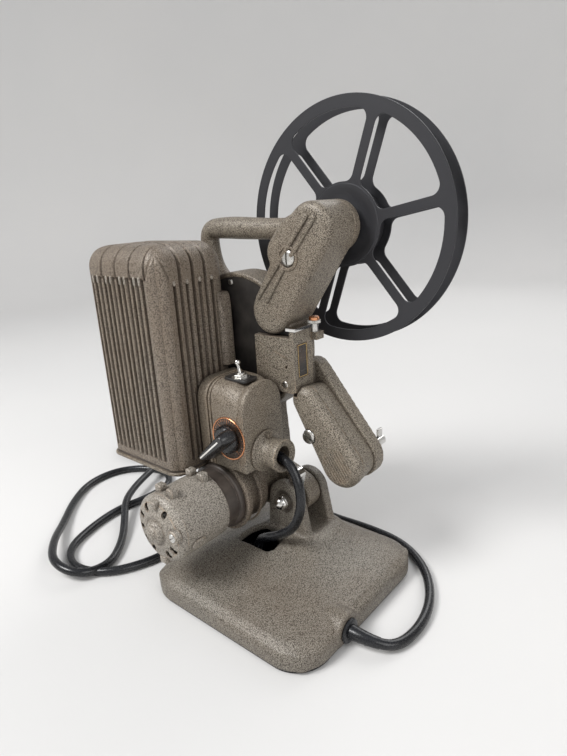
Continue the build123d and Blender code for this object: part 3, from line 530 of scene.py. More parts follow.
@dataclass(frozen=True)
class Finish:
    """A finish with its name and the record's slot that it stands for."""

    name: str
    slot: str

    def draw(self, graph: Graph) -> None:
        """Lays the finish's nodes."""
        raise NotImplementedError

    def material(self) -> bpy.types.Material:
        """The finish's material, made once."""
        found = bpy.data.materials.get(self.name)
        if found:
            return found
        graph = Graph(self.name)
        self.draw(graph)
        return graph.material


@dataclass(frozen=True)
class HammerPaint(Finish):
    """Speckled hammered enamel with rubbed edges and brown stain."""

    light: Colour = (0.36, 0.315, 0.25)
    dark: Colour = (0.050, 0.038, 0.027)
    stain: Colour = (0.140, 0.096, 0.060)
    rubbed: Colour = (0.38, 0.28, 0.19)
    painted_shade: Colour = (0.040, 0.028, 0.020)
    grains: float = 1350.0
    relief: float = 0.26
    stained: float = 0.45

    def draw(self, graph: Graph) -> None:
        """Lays grains, stain, painted shade in corners and crevices, and rubbed edges."""
        cells = graph.cells(self.grains)
        fine = graph.noise(self.grains * 1.7, 2.0)
        grain = graph.maths("ADD", graph.maths("MULTIPLY", cells, 0.62), graph.maths("MULTIPLY", fine, 0.62))
        speckle = graph.spread(grain, 0.44, 0.76)
        colour = graph.blend(speckle, self.light, self.dark)
        patches = graph.spread(graph.noise(13.0, 5.0), 0.44, 0.72, 0.0, self.stained)
        colour = graph.blend(patches, colour, self.stain)
        # Painted shade: the colour darkens where the occlusion node finds the skin closed in, as in grooves
        # and corners.
        open_share = graph.shelter(7.0)
        painted_shade = graph.spread(open_share, 0.80, 0.30, 0.0, 0.88)
        colour = graph.blend(painted_shade, colour, self.painted_shade)
        worn = graph.maths("MULTIPLY", graph.edges(0.9), graph.spread(graph.noise(95.0, 4.0), 0.38, 0.62))
        colour = graph.blend(worn, colour, self.rubbed)
        graph.paint(colour, graph.spread(fine, 0.25, 0.75, 0.38, 0.56))
        graph.shader.inputs["Metallic"].default_value = 0.12
        graph.bump(grain, self.relief, 0.55)


@dataclass(frozen=True)
class SatinPaint(Finish):
    """Smooth dark paint with faint scratches and dust."""

    colour: Colour = (0.030, 0.030, 0.032)
    dusty: Colour = (0.075, 0.073, 0.070)
    low_rough: float = 0.34
    high_rough: float = 0.52

    def draw(self, graph: Graph) -> None:
        """Lays dust, fine scratches and a worn edge."""
        dust = graph.spread(graph.noise(60.0, 5.0), 0.42, 0.75)
        colour = graph.blend(dust, self.colour, self.dusty)
        rub = graph.maths("MULTIPLY", graph.edges(0.4), graph.spread(graph.noise(300.0, 2.0), 0.45, 0.6))
        colour = graph.blend(rub, colour, tuple(min(c * 5, 0.3) for c in self.colour))
        streaks = graph.noise(700.0, 2.0, graph.stretched((1.0, 0.08, 0.3)))
        graph.paint(colour, graph.spread(streaks, 0.3, 0.7, self.low_rough, self.high_rough))
        graph.bump(graph.noise(2200.0, 2.0), 0.03, 0.35)


@dataclass(frozen=True)
class BareMetal(Finish):
    """Bare or plated metal with turned marks and tarnish."""

    colour: Colour = (0.56, 0.55, 0.52)
    tarnish: Colour = (0.20, 0.17, 0.13)
    painted_shade: Colour = (0.03, 0.025, 0.02)
    low_rough: float = 0.18
    high_rough: float = 0.42
    tarnished: float = 0.5

    def draw(self, graph: Graph) -> None:
        """Lays tarnish, painted shade in crevices and fine marks."""
        patches = graph.spread(graph.noise(240.0, 4.0), 0.46, 0.74, 0.0, self.tarnished)
        colour = graph.blend(patches, self.colour, self.tarnish)
        # Painted shade: the colour darkens towards near-black where the occlusion node finds the skin closed
        # in.
        painted_shade = graph.spread(graph.shelter(2.0), 0.6, 0.1, 0.0, 0.7)
        colour = graph.blend(painted_shade, colour, self.painted_shade)
        marks = graph.noise(1500.0, 3.0, graph.stretched((1.0, 0.1, 1.0)))
        graph.paint(colour, graph.spread(marks, 0.3, 0.7, self.low_rough, self.high_rough))
        graph.shader.inputs["Metallic"].default_value = 1.0
        graph.bump(marks, 0.02, 0.3)


@dataclass(frozen=True)
class Moulded(Finish):
    """Rubber, phenolic, fibre or ceramic with a moulded skin."""

    colour: Colour = (0.018, 0.019, 0.022)
    pale: Colour = (0.05, 0.05, 0.052)
    low_rough: float = 0.3
    high_rough: float = 0.5
    waves: float = 900.0
    relief: float = 0.05
    coat: float = 0.0

    def draw(self, graph: Graph) -> None:
        """Lays a mottled skin with a little bloom."""
        bloom = graph.spread(graph.noise(45.0, 4.0), 0.45, 0.72)
        colour = graph.blend(bloom, self.colour, self.pale)
        skin = graph.noise(self.waves, 3.0)
        graph.paint(colour, graph.spread(skin, 0.3, 0.7, self.low_rough, self.high_rough))
        graph.shader.inputs["Coat Weight"].default_value = self.coat
        graph.shader.inputs["Coat Roughness"].default_value = 0.12
        graph.bump(skin, self.relief, 0.5)


@dataclass(frozen=True)
class ClearGlass(Finish):
    """Clear glass with a trace of dust."""

    tint: Colour = (0.93, 0.96, 0.96)
    dusty: Colour = (0.80, 0.82, 0.80)

    def draw(self, graph: Graph) -> None:
        """Lays a clear body with a dusty skin."""
        dust = graph.spread(graph.noise(120.0, 4.0), 0.4, 0.8)
        graph.paint(graph.blend(dust, self.tint, self.dusty),
                    graph.spread(graph.noise(500.0, 2.0), 0.3, 0.7, 0.02, 0.09))
        graph.shader.inputs["Transmission Weight"].default_value = 1.0
        graph.shader.inputs["IOR"].default_value = 1.5


HAMMER = HammerPaint("hammered_enamel", "hammer_paint")
HAMMER_LIGHT = HammerPaint("hammered_enamel_motor", "hammer_paint", light=(0.50, 0.46, 0.40),
                           dark=(0.11, 0.094, 0.076), stained=0.28)
HAMMER_BASE = HammerPaint("hammered_enamel_base", "hammer_paint", light=(0.32, 0.292, 0.245),
                          dark=(0.052, 0.042, 0.032), stained=0.32, rubbed=(0.20, 0.14, 0.09))
HAMMER_BROWN = HammerPaint("hammered_enamel_lamp_house", "hammer_paint", light=(0.33, 0.278, 0.222),
                           dark=(0.050, 0.037, 0.026), stained=0.35, rubbed=(0.30, 0.23, 0.17))
# Black satin for dark parts; on the housing cover it is also painted shade of the recess.
BLACK = SatinPaint("black_paint_and_cover_shade", "black_paint", colour=(0.016, 0.014, 0.013),
                   dusty=(0.045, 0.040, 0.036))
# Dark brown satin of the lamp tray; on the motor's rear band it is painted shade.
DARK_TRAY_AND_BAND_SHADE = SatinPaint("dark_tray_paint_and_band_shade", "dark_tray", colour=(0.05, 0.04, 0.034), dusty=(0.11, 0.09, 0.075))
REEL_BLACK = SatinPaint("reel_paint", "reel_paint", colour=(0.022, 0.023, 0.025), dusty=(0.042, 0.042, 0.044))
STEEL = BareMetal("screw_steel", "steel", colour=(0.66, 0.65, 0.62), tarnished=0.28)
CHROME = BareMetal("worn_chrome", "chrome", colour=(0.72, 0.71, 0.69), tarnish=(0.38, 0.35, 0.31),
                   low_rough=0.07, high_rough=0.22, tarnished=0.35)
IRON = BareMetal("motor_iron", "iron", colour=(0.20, 0.19, 0.18), tarnish=(0.10, 0.07, 0.05))
BRASS = BareMetal("gear_brass", "brass", colour=(0.66, 0.47, 0.20), tarnish=(0.30, 0.19, 0.08))
COPPER = BareMetal("copper_trim", "copper", colour=(0.76, 0.36, 0.19), tarnish=(0.33, 0.13, 0.06),
                   low_rough=0.16, high_rough=0.34)
DIAL_BLACK = SatinPaint("dial_black", "dial_face", colour=(0.020, 0.015, 0.012), dusty=(0.07, 0.04, 0.025),
                        low_rough=0.2, high_rough=0.4)
RUBBER = Moulded("cord_rubber", "rubber", colour=(0.006, 0.0065, 0.008), pale=(0.014, 0.015, 0.018),
                 low_rough=0.20, high_rough=0.36)
PHENOLIC = Moulded("black_phenolic", "black_plastic", colour=(0.008, 0.008, 0.009),
                   pale=(0.020, 0.020, 0.021), low_rough=0.20, high_rough=0.34, relief=0.015, coat=0.15)
FIBRE = Moulded("gear_fibre", "fibre", colour=(0.22, 0.11, 0.05), pale=(0.32, 0.18, 0.09), waves=1600.0)
CERAMIC = Moulded("socket_ceramic", "ceramic", colour=(0.72, 0.69, 0.62), pale=(0.58, 0.54, 0.46),
                  low_rough=0.2, high_rough=0.4, relief=0.02)
WHITE_INK = Moulded("pointer_white", "dial_face", colour=(0.74, 0.73, 0.70), pale=(0.60, 0.58, 0.54),
                    relief=0.01)
GLASS = ClearGlass("lens_glass", "glass")
MIRROR = BareMetal("mirror_silver", "mirror", colour=(0.90, 0.90, 0.91), tarnish=(0.72, 0.72, 0.72),
                   low_rough=0.02, high_rough=0.06, tarnished=0.15)

SLOT_FINISH: dict[str, Finish] = {finish.slot: finish for finish in (
    HAMMER, BLACK, DARK_TRAY_AND_BAND_SHADE, REEL_BLACK, STEEL, CHROME, IRON, BRASS, COPPER, DIAL_BLACK, RUBBER, PHENOLIC,
    FIBRE, CERAMIC, GLASS, MIRROR)}


def coat(thing: bpy.types.Object, finish: Finish) -> None:
    """Gives a mesh its one material."""
    thing.data.materials.clear()
    thing.data.materials.append(finish.material())


def dress(thing: bpy.types.Object, finish: Finish, body: str, stands_for: tuple[str, ...] = (),
          crease: float = 32.0) -> bpy.types.Object:
    """Gives a finished mesh its material, shading, body and the nodes that it stands for.

    Args:
        thing: Object in place in the row frame.
        finish: Its finish.
        body: The body that it rides on.
        stands_for: Frame nodes that it replaces.
        crease: Angle in degrees over which an edge stays sharp.

    Returns:
        The same object.
    """
    coat(thing, finish)
    thing.data.shade_smooth()
    thing.data.set_sharp_from_angle(angle=math.radians(crease))
    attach(thing, body)
    if stands_for:
        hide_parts(*stands_for)
    LOG.info("%s rides on %s, %d faces", thing.name, body, len(thing.data.polygons))
    return thing


def dress_node(node: str, finish: Finish, edge: float = 0.35) -> None:
    """Gives a frame node its material and broken edges, with its mesh left as it is."""
    thing = frame["nodes"][node]
    coat(thing, finish)
    weld(thing)
    bevel = thing.modifiers.new("broken_edges", "BEVEL")
    bevel.width = edge * MM
    bevel.segments = 2
    bevel.limit_method = "ANGLE"
    bevel.angle_limit = math.radians(38)
    thing.modifiers.new("even_faces", "WEIGHTED_NORMAL")


def cast_node(node: str, name: str, finish: Finish, voxel: float, passes: int) -> None:
    """Softened casting on the head that stands for a frame node.

    Args:
        node: The frame node.
        name: Name of the new piece.
        finish: Its finish.
        voxel: Size of the cells that its skin is drawn through, in millimetres.
        passes: How often the skin is eased.
    """
    thing = soften(node_copy(node), voxel, passes)
    thing.name = name
    dress(thing, finish, "head", (node,), 60)


@dataclass
class Studio:
    """Camera at the photograph's place, a pale floor with its backdrop, and soft lamps."""

    focal_px: float = 550.37
    frame_px: Flat = (567.0, 756.0)
    sensor: float = 36.0
    yaw: float = 0.7178
    pitch: float = 0.3059
    roll: float = -0.0594
    eye: Point = (267.08, -293.62, 302.62)
    floor_r: float = 1700.0
    curve_r: float = 700.0
    wall_h: float = 2600.0

    def camera(self) -> None:
        """Makes the camera and sets it as the scene's."""
        data = bpy.data.cameras.new("photo_camera")
        data.sensor_width = self.sensor
        data.lens = self.sensor * self.focal_px / max(self.frame_px)
        data.clip_start, data.clip_end = 0.01, 30.0
        forward = Vector((-math.sin(self.yaw) * math.cos(self.pitch),
                          math.cos(self.yaw) * math.cos(self.pitch), -math.sin(self.pitch)))
        level = Vector((math.cos(self.yaw), math.sin(self.yaw), 0.0))
        upward = level.cross(forward)
        right = level * math.cos(self.roll) + upward * math.sin(self.roll)
        up = upward * math.cos(self.roll) - level * math.sin(self.roll)
        turn = Matrix((right, up, -forward)).transposed().to_4x4()
        thing = placed("photo_camera", data)
        thing.matrix_world = Matrix.Translation(Vector(self.eye) * MM) @ turn
        bpy.context.scene.camera = thing

    def lamp(self, name: str, spot: Point, aim: Point, size: float, power: float) -> None:
        """Adds one soft square lamp, its places in metres."""
        data = bpy.data.lights.new(name, "AREA")
        data.size = size
        data.energy = power
        thing = placed(name, data)
        thing.location = spot
        thing.rotation_euler = (Vector(aim) - Vector(spot)).to_track_quat("-Z", "Y").to_euler()

    def floor(self) -> None:
        """Round floor that curves up into a wall, in pale matt paper."""
        pairs = [(self.floor_r * i / 4, 0.0) for i in range(1, 5)]
        for i in range(1, 13):
            angle = math.radians(90 * i / 12)
            pairs.append((self.floor_r + self.curve_r * math.sin(angle),
                          self.curve_r * (1 - math.cos(angle))))
        pairs.append((self.floor_r + self.curve_r, self.wall_h))
        shape = Shape()
        rings = shape.chain([[(u, v, z) for u, v in circle((0, 0), r, 96)] for r, z in pairs])
        shape.faces.append(tuple(rings[0]))
        thing = shape.raw("paper_floor")
        for face in thing.data.polygons:
            face.use_smooth = True
        graph = Graph("pale_paper")
        cloud = graph.spread(graph.noise(1.2, 3.0), 0.3, 0.7)
        graph.paint(graph.blend(cloud, (0.70, 0.69, 0.675), (0.66, 0.655, 0.645)),
                    graph.spread(graph.noise(400.0, 2.0), 0.3, 0.7, 0.75, 0.9))
        thing.data.materials.append(graph.material)

    def world(self) -> None:
        """Even pale sky above the wall."""
        world = bpy.data.worlds.new("pale_room")
        bpy.context.scene.world = world
        world.use_nodes = True
        back = world.node_tree.nodes["Background"]
        back.inputs["Color"].default_value = (0.93, 0.95, 1.0, 1.0)
        back.inputs["Strength"].default_value = 0.55

    def build(self) -> None:
        """Makes the whole studio."""
        self.camera()
        self.floor()
        self.world()
        self.lamp("key_lamp", (-0.55, -1.15, 1.55), (0.0, 0.0, 0.12), 0.7, 32.0)
        self.lamp("fill_lamp", (1.35, -0.35, 0.9), (0.0, 0.0, 0.15), 1.0, 8.0)
        self.lamp("back_lamp", (-0.2, 1.4, 1.3), (0.0, 0.0, 0.15), 1.0, 9.0)
        bpy.context.scene.view_settings.view_transform = "Standard"
        LOG.info("studio made")


def spline_curve(name: str, points: list[Point], radius: float) -> bpy.types.Object:
    """Smooth curve on control points in millimetres, round if it has a radius."""
    data = bpy.data.curves.new(name, "CURVE")
    data.dimensions = "3D"
    data.resolution_u = 8
    data.use_fill_caps = True
    data.bevel_depth = radius * MM
    data.bevel_resolution = 5
    spline = data.splines.new("NURBS")
    spline.points.add(len(points) - 1)
    for spot, point in zip(spline.points, points):
        spot.co = (*(c * MM for c in point), 1.0)
    spline.order_u = 3
    spline.use_endpoint_u = True
    return placed(name, data)


def spline_line(points: list[Point]) -> list[Vector]:
    """Points in millimetres along the smooth curve on some control points."""
    bare = spline_curve("bare_line", points, 0.0)
    graph = bpy.context.evaluated_depsgraph_get()
    mesh = bpy.data.meshes.new_from_object(bare.evaluated_get(graph))
    line = [v.co.copy() / MM for v in mesh.vertices]
    bpy.data.objects.remove(bare)
    return line


@dataclass
class MainsLead:
    """Free rubber lead: out of the gland, round the machine, and wound up behind it."""

    cord_d: float = 7.5
    route: tuple[Point, ...] = (
        (86, -29, 10), (101, -29, 10), (116, -17, 4), (120, 12, 3.85), (112, 44, 3.85),
        (92, 74, 3.85), (60, 95, 3.85), (22, 98, 3.85), (-20, 94, 3.85), (-60, 98, 3.85),
        (-92, 86, 3.85), (-108, 54, 3.85), (-110, 14, 3.85), (-105, -24, 3.85), (-109, -60, 3.85),
        (-126, -92, 3.85), (-158, -107, 3.85), (-189, -94, 3.85), (-205, -60, 3.85),
        (-213, -22, 3.85), (-205, 14, 3.85), (-211, 46, 3.85), (-238, 62, 3.85), (-270, 54, 3.85),
        (-294, 28, 3.85), (-293, -10, 3.85), (-268, -44, 3.85), (-234, -74, 5),
        (-200, -102, 12.5), (-168, -120, 13.5), (-139, -112, 8), (-135, -84, 3.85),
        (-157, -56, 3.85), (-184, -34, 8), (-206, -18, 12.5), (-224, 6, 12.5), (-238, 34, 12.5),
        (-250, 60, 12.5), (-262, 80, 6), (-268, 96, 3.85), (-268, 112.5, 3.85))
    coil_at: Flat = (-316.0, 120.0)
    coil_r: float = 48.0
    half_turns: int = 4
    coil_gap: float = 0.6
    lift: float = 0.1
    step_in: float = 2.8
    step_out: float = 4.6
    tail: float = 22.5
    steps_per_half: int = 8
    length: float = 2603.0

    def half_turn_ends(self) -> list[tuple[float, float]]:
        """Signed reach from the coil's middle and height at the end of each half turn."""
        pitch = self.cord_d + self.coil_gap
        low, high = self.cord_d / 2 + self.lift, self.cord_d * 1.5 + self.coil_gap
        inner = self.coil_r - self.half_turns * pitch / 2
        ends = [(self.coil_r - i * pitch / 2, low) for i in range(self.half_turns + 1)]
        ends.append((inner - self.step_in, high))
        ends += [(inner + self.step_out + i * pitch / 2, high) for i in range(self.half_turns + 1)]
        return [((-1) ** i * reach, z) for i, (reach, z) in enumerate(ends)]

    def coil_points(self) -> list[Point]:
        """Control points of the wound turns, set out a little so that the curve keeps its reach."""
        x, y = self.coil_at
        count = self.steps_per_half
        swell = 1 / math.cos(math.pi / count / 2)
        ends = self.half_turn_ends()
        points: list[Point] = []
        for (a, za), (b, zb) in zip(ends, ends[1:]):
            middle, radius = (a + b) / 2, abs(a - b) / 2 * swell
            start = 0.0 if a > 0 else math.pi
            for i in range(count):
                share = (i + 0.5) / count
                angle = start + math.pi * share
                points.append((x + middle + radius * math.cos(angle), y + radius * math.sin(angle),
                               za + (zb - za) * share))
        last, z = ends[-1]
        points.append((x + last, y + self.tail * 0.5, z))
        points.append((x + last, y + self.tail, z))
        return points

    def plug(self) -> bpy.types.Object:
        """Round moulded plug with finger rings and a tapered tail."""
        reach, z = self.half_turn_ends()[-1]
        x, y = self.coil_at[0] + reach, self.coil_at[1] + self.tail
        big = z - self.lift
        profile = [(3.9, 0.1), (4.9, 0.8)]
        for i in range(4):
            profile += [(5.0 + 0.15 * i, 2 + 3 * i), (5.4, 2.7 + 3 * i), (5.4, 3.9 + 3 * i)]
        profile += [(5.2, 14), (7.5, 16.5), (big - 1.2, 19), (big, 21), (big, 24), (big - 0.7, 24.6),
                    (big, 25.4), (big, 31.5), (big - 1.4, 33.6), (big - 2.6, 34), (0, 34)]
        thing = Shape().turn(Way.Y, (x, z), seated(y, profile)).raw("moulded_plug")
        return dress(thing, PHENOLIC, "base", ("mains_plug",))

    def relief(self, name: str, line: list[Vector], long: float, wide: float) -> bpy.types.Object:
        """Tapered sleeve on the cord over so many millimetres of its line."""
        path, gone = [line[0]], 0.0
        for a, b in zip(line, line[1:]):
            gone += (b - a).length
            path.append(b)
            if gone > long:
                break
        thin = self.cord_d / 2 + 0.25
        count = len(path) - 1
        radii = [wide + (thin - wide) * (i / count) ** 0.8 for i in range(count + 1)]
        return dress(Shape().tube(path, radii, 24).raw(name), RUBBER, "base")

    def build(self) -> None:
        points = list(self.route) + self.coil_points()
        lead = spline_curve("mains_lead", points, self.cord_d / 2)
        lead.data.materials.append(RUBBER.material())
        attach(lead, "base")
        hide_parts("mains_cord", "cord_coil")
        line = spline_line(points)
        sleeve = self.relief("gland_sleeve", line, 21.0, 5.6)
        tail = self.relief("plug_sleeve", list(reversed(line)), 20.0, 4.9)
        plug = self.plug()
        LOG.info("mains lead laid")


@dataclass
class InnerLead:
    """Short loop of rubber lead from the head's socket into the base."""

    cord_d: float = 7.5
    route: tuple[Point, ...] = (
        (-8, -5, 118), (11, -5, 118), (24, -6, 104), (29, -8, 82), (21, -9, 60), (3, -9, 46),
        (-12, -7, 38), (-23, -5, 31), (-26, -5, 20))
    length: float = 146.0
    bend_top: Point = (20.0, -8.0, 70.0)
    bend_low: Point = (-24.0, -5.0, 32.0)

    def build(self) -> None:
        """Lays the loop as one fixed tube."""
        line = spline_line(list(self.route))
        shape = Shape().tube(line, [self.cord_d / 2] * len(line), 20)
        thing = shape.raw("socket_lead")
        thing.data.materials.append(RUBBER.material())
        thing.data.shade_smooth()
        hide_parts("inner_lead")
        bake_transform(thing)
        LOG.info("inner lead laid")


def screw(way: Way, at: Flat, radius: float, seat: float, out: float, height: float, turn: float) -> Shape:
    """Domed screw head with its slot left open, as two half domes on a disc.

    Args:
        way: Axis of the screw.
        at: Its place across that axis.
        radius: Radius of the head.
        seat: Place of the seat along the axis.
        out: +1 or -1, the way that the head faces.
        height: Height of the head.
        turn: Slot direction in degrees.

    Returns:
        The head's shape.
    """
    shape = Shape()
    slot, floor = radius * 0.13, height * 0.35
    shape.push(way, circle(at, radius, 40), [(0, seat), (0, seat + out * floor)])
    for side in (0.0, 180.0):
        half = arc((0.0, 0.0), radius, 0, 180, 20)
        rings = []
        for share, rise in ((1.0, 0.0), (1.0, 0.35), (0.93, 0.62), (0.80, 0.83), (0.6, 0.95), (0.35, 1.0)):
            ring = []
            for u, v in half:
                spot = Vector((u * share, max(v * share, 0.0) + slot, 0.0))
                spot.rotate(Matrix.Rotation(math.radians(turn + side), 3, "Z"))
                along = seat + out * (floor + (height - floor) * rise)
                ring.append(way.point(at[0] + spot.x * 0.97, at[1] + spot.y * 0.97, along))
            rings.append(ring)
        shape.stack(rings)
    return shape


@dataclass
class Base:
    """Crowned cast foot with the fork that the head tilts in."""

    low_z: float = 2.0
    wall: float = 4.0
    # Middle and half sizes in plan, corner radius, height
    sections: tuple[tuple[float, float, float, float, float, float], ...] = (
        (0, 0, 83.3, 80.8, 28, 2), (0, 0, 83.5, 81, 28, 4), (0, 0, 83.5, 81, 28, 11),
        (0, 0, 82.3, 79.8, 27, 15.5), (0, 0.5, 77, 74, 26, 19.5), (0, 4, 66, 63, 25, 23.5),
        (-0.5, 11, 50, 49, 22, 28), (-1, 19, 37, 37, 18, 33.5), (-1, 25, 28, 28, 14, 38.5),
        (-1, 28, 22, 22, 11, 40.5))
    cheek_foot: Flat = (-2.0, 38.0)
    cheek_foot_r: float = 21.0
    cheek_r: float = 17.0
    cheeks: tuple[Flat, Flat] = ((8.0, 17.0), (39.0, 48.0))
    gland: Flat = (-29.0, 10.0)
    gland_r: float = 7.5
    boss_x: Flat = (57.5, 83.6)
    bush_x: float = 83.5
    slot_low: Flat = (-38.0, -17.0)
    slot_high: Flat = (1.0, 6.0)
    slot_floor: float = 17.0
    foot_reach: Flat = (69.5, 67.0)
    foot_r: float = 9.0
    foot_z: Flat = (2.2, 16.0)
    well_r: float = 9.5
    well_y: Flat = (4.0, 10.0)
    dent: Point = (8.1, -58.2, 24.0)
    dent_r: float = 14.0
    dent_fall: float = 5.0
    dent_depth: float = 1.1
    flake: Point = (-41.6, -50.5, 21.6)
    flake_points: int = 11

    def crown(self, smaller: float, lower: float) -> Shape:
        """The crowned body, drawn in and down by a wall."""
        rings = []
        for x, y, half_x, half_y, corner, z in self.sections:
            a, b, c = half_x - smaller, half_y - smaller, corner - smaller
            outline = rounded((x - a, y - b), (x + a, y + b), (c, c, c, c), 10, 6)
            rings.append([(u, v, z - lower) for u, v in outline])
        return Shape().stack(rings)

    def casting(self) -> None:
        """Cast body with fork, gland boss, lead slot, hollow and screw wells."""
        thing = self.crown(0.0, 0.0).raw("base_body")
        combine(thing, self.crown(self.wall, self.wall + 1), Cut.AWAY)
        cheek = capsule(self.cheek_foot, self.cheek_foot_r, TILT_PIVOT, self.cheek_r, 24)
        for low, high in self.cheeks:
            combine(thing, Shape().slab(Way.Y, cheek, low, high), Cut.ADD)
        boss = [(u, max(v, self.low_z)) for u, v in circle(self.gland, self.gland_r + 6, 48)]
        combine(thing, Shape().slab(Way.X, boss, *self.boss_x), Cut.ADD)
        for sx in (-1, 1):
            for sy in (-1, 1):
                at = (sx * self.foot_reach[0], sy * self.foot_reach[1])
                combine(thing, Shape().slab(Way.Z, circle(at, self.foot_r, 32), *self.foot_z), Cut.ADD)
        slot = rounded(self.slot_low, self.slot_high, (7, 7, 7, 7))
        combine(thing, Shape().slab(Way.Z, slot, self.slot_floor, 48), Cut.AWAY)
        combine(thing, Shape().slab(Way.Y, circle(TILT_PIVOT, self.well_r, 40), *self.well_y), Cut.AWAY)
        soften(thing, 1.1, 9)
        middle = Vector(self.dent) * MM
        for spot in thing.data.vertices:
            away = (spot.co - middle).length / MM
            if away < self.dent_r:
                spot.co.z -= self.dent_depth * MM * math.exp(-(away / self.dent_fall) ** 2)
        dress(thing, HAMMER_BASE, "base", ("base_casting",), 60)

    def gland_ring(self) -> None:
        """Rubber bush pressed into the boss."""
        profile = seated(self.bush_x, [(7.2, -3), (9.0, 0.1), (9.2, 0.9), (8.7, 2.0), (7.6, 2.5), (4.1, 2.4)])
        thing = Shape().turn(Way.X, self.gland, profile).raw("gland_bush")
        dress(thing, RUBBER, "base", ("cord_gland",))

    def chip(self) -> None:
        """Lifted flake of enamel on the near slope of the crown."""
        draw = random.Random(7)
        x, y, z = self.flake
        outline = []
        for i in range(self.flake_points):
            a = 2 * math.pi * i / self.flake_points
            outline.append((2.3 * (0.7 + 0.5 * draw.random()) * math.cos(a),
                            3.6 * (0.7 + 0.5 * draw.random()) * math.sin(a)))
        low = [(x + u, y + v, z + 0.2 + 0.06 * v) for u, v in outline]
        high = [(x + 0.8 * u, y + 0.8 * v, z + 1.3 + 0.12 * v) for u, v in outline]
        dress(Shape().stack([low, high]).raw("enamel_flake"), STEEL, "base")

    def build(self) -> None:
        """Makes the foot with its parts."""
        self.casting()
        self.gland_ring()
        self.chip()
        dress_node("rubber_pad", RUBBER, 0.4)
        dress_node("tilt_bolt", CHROME, 0.4)
        dress_node("clamp_lever", CHROME, 1.0)


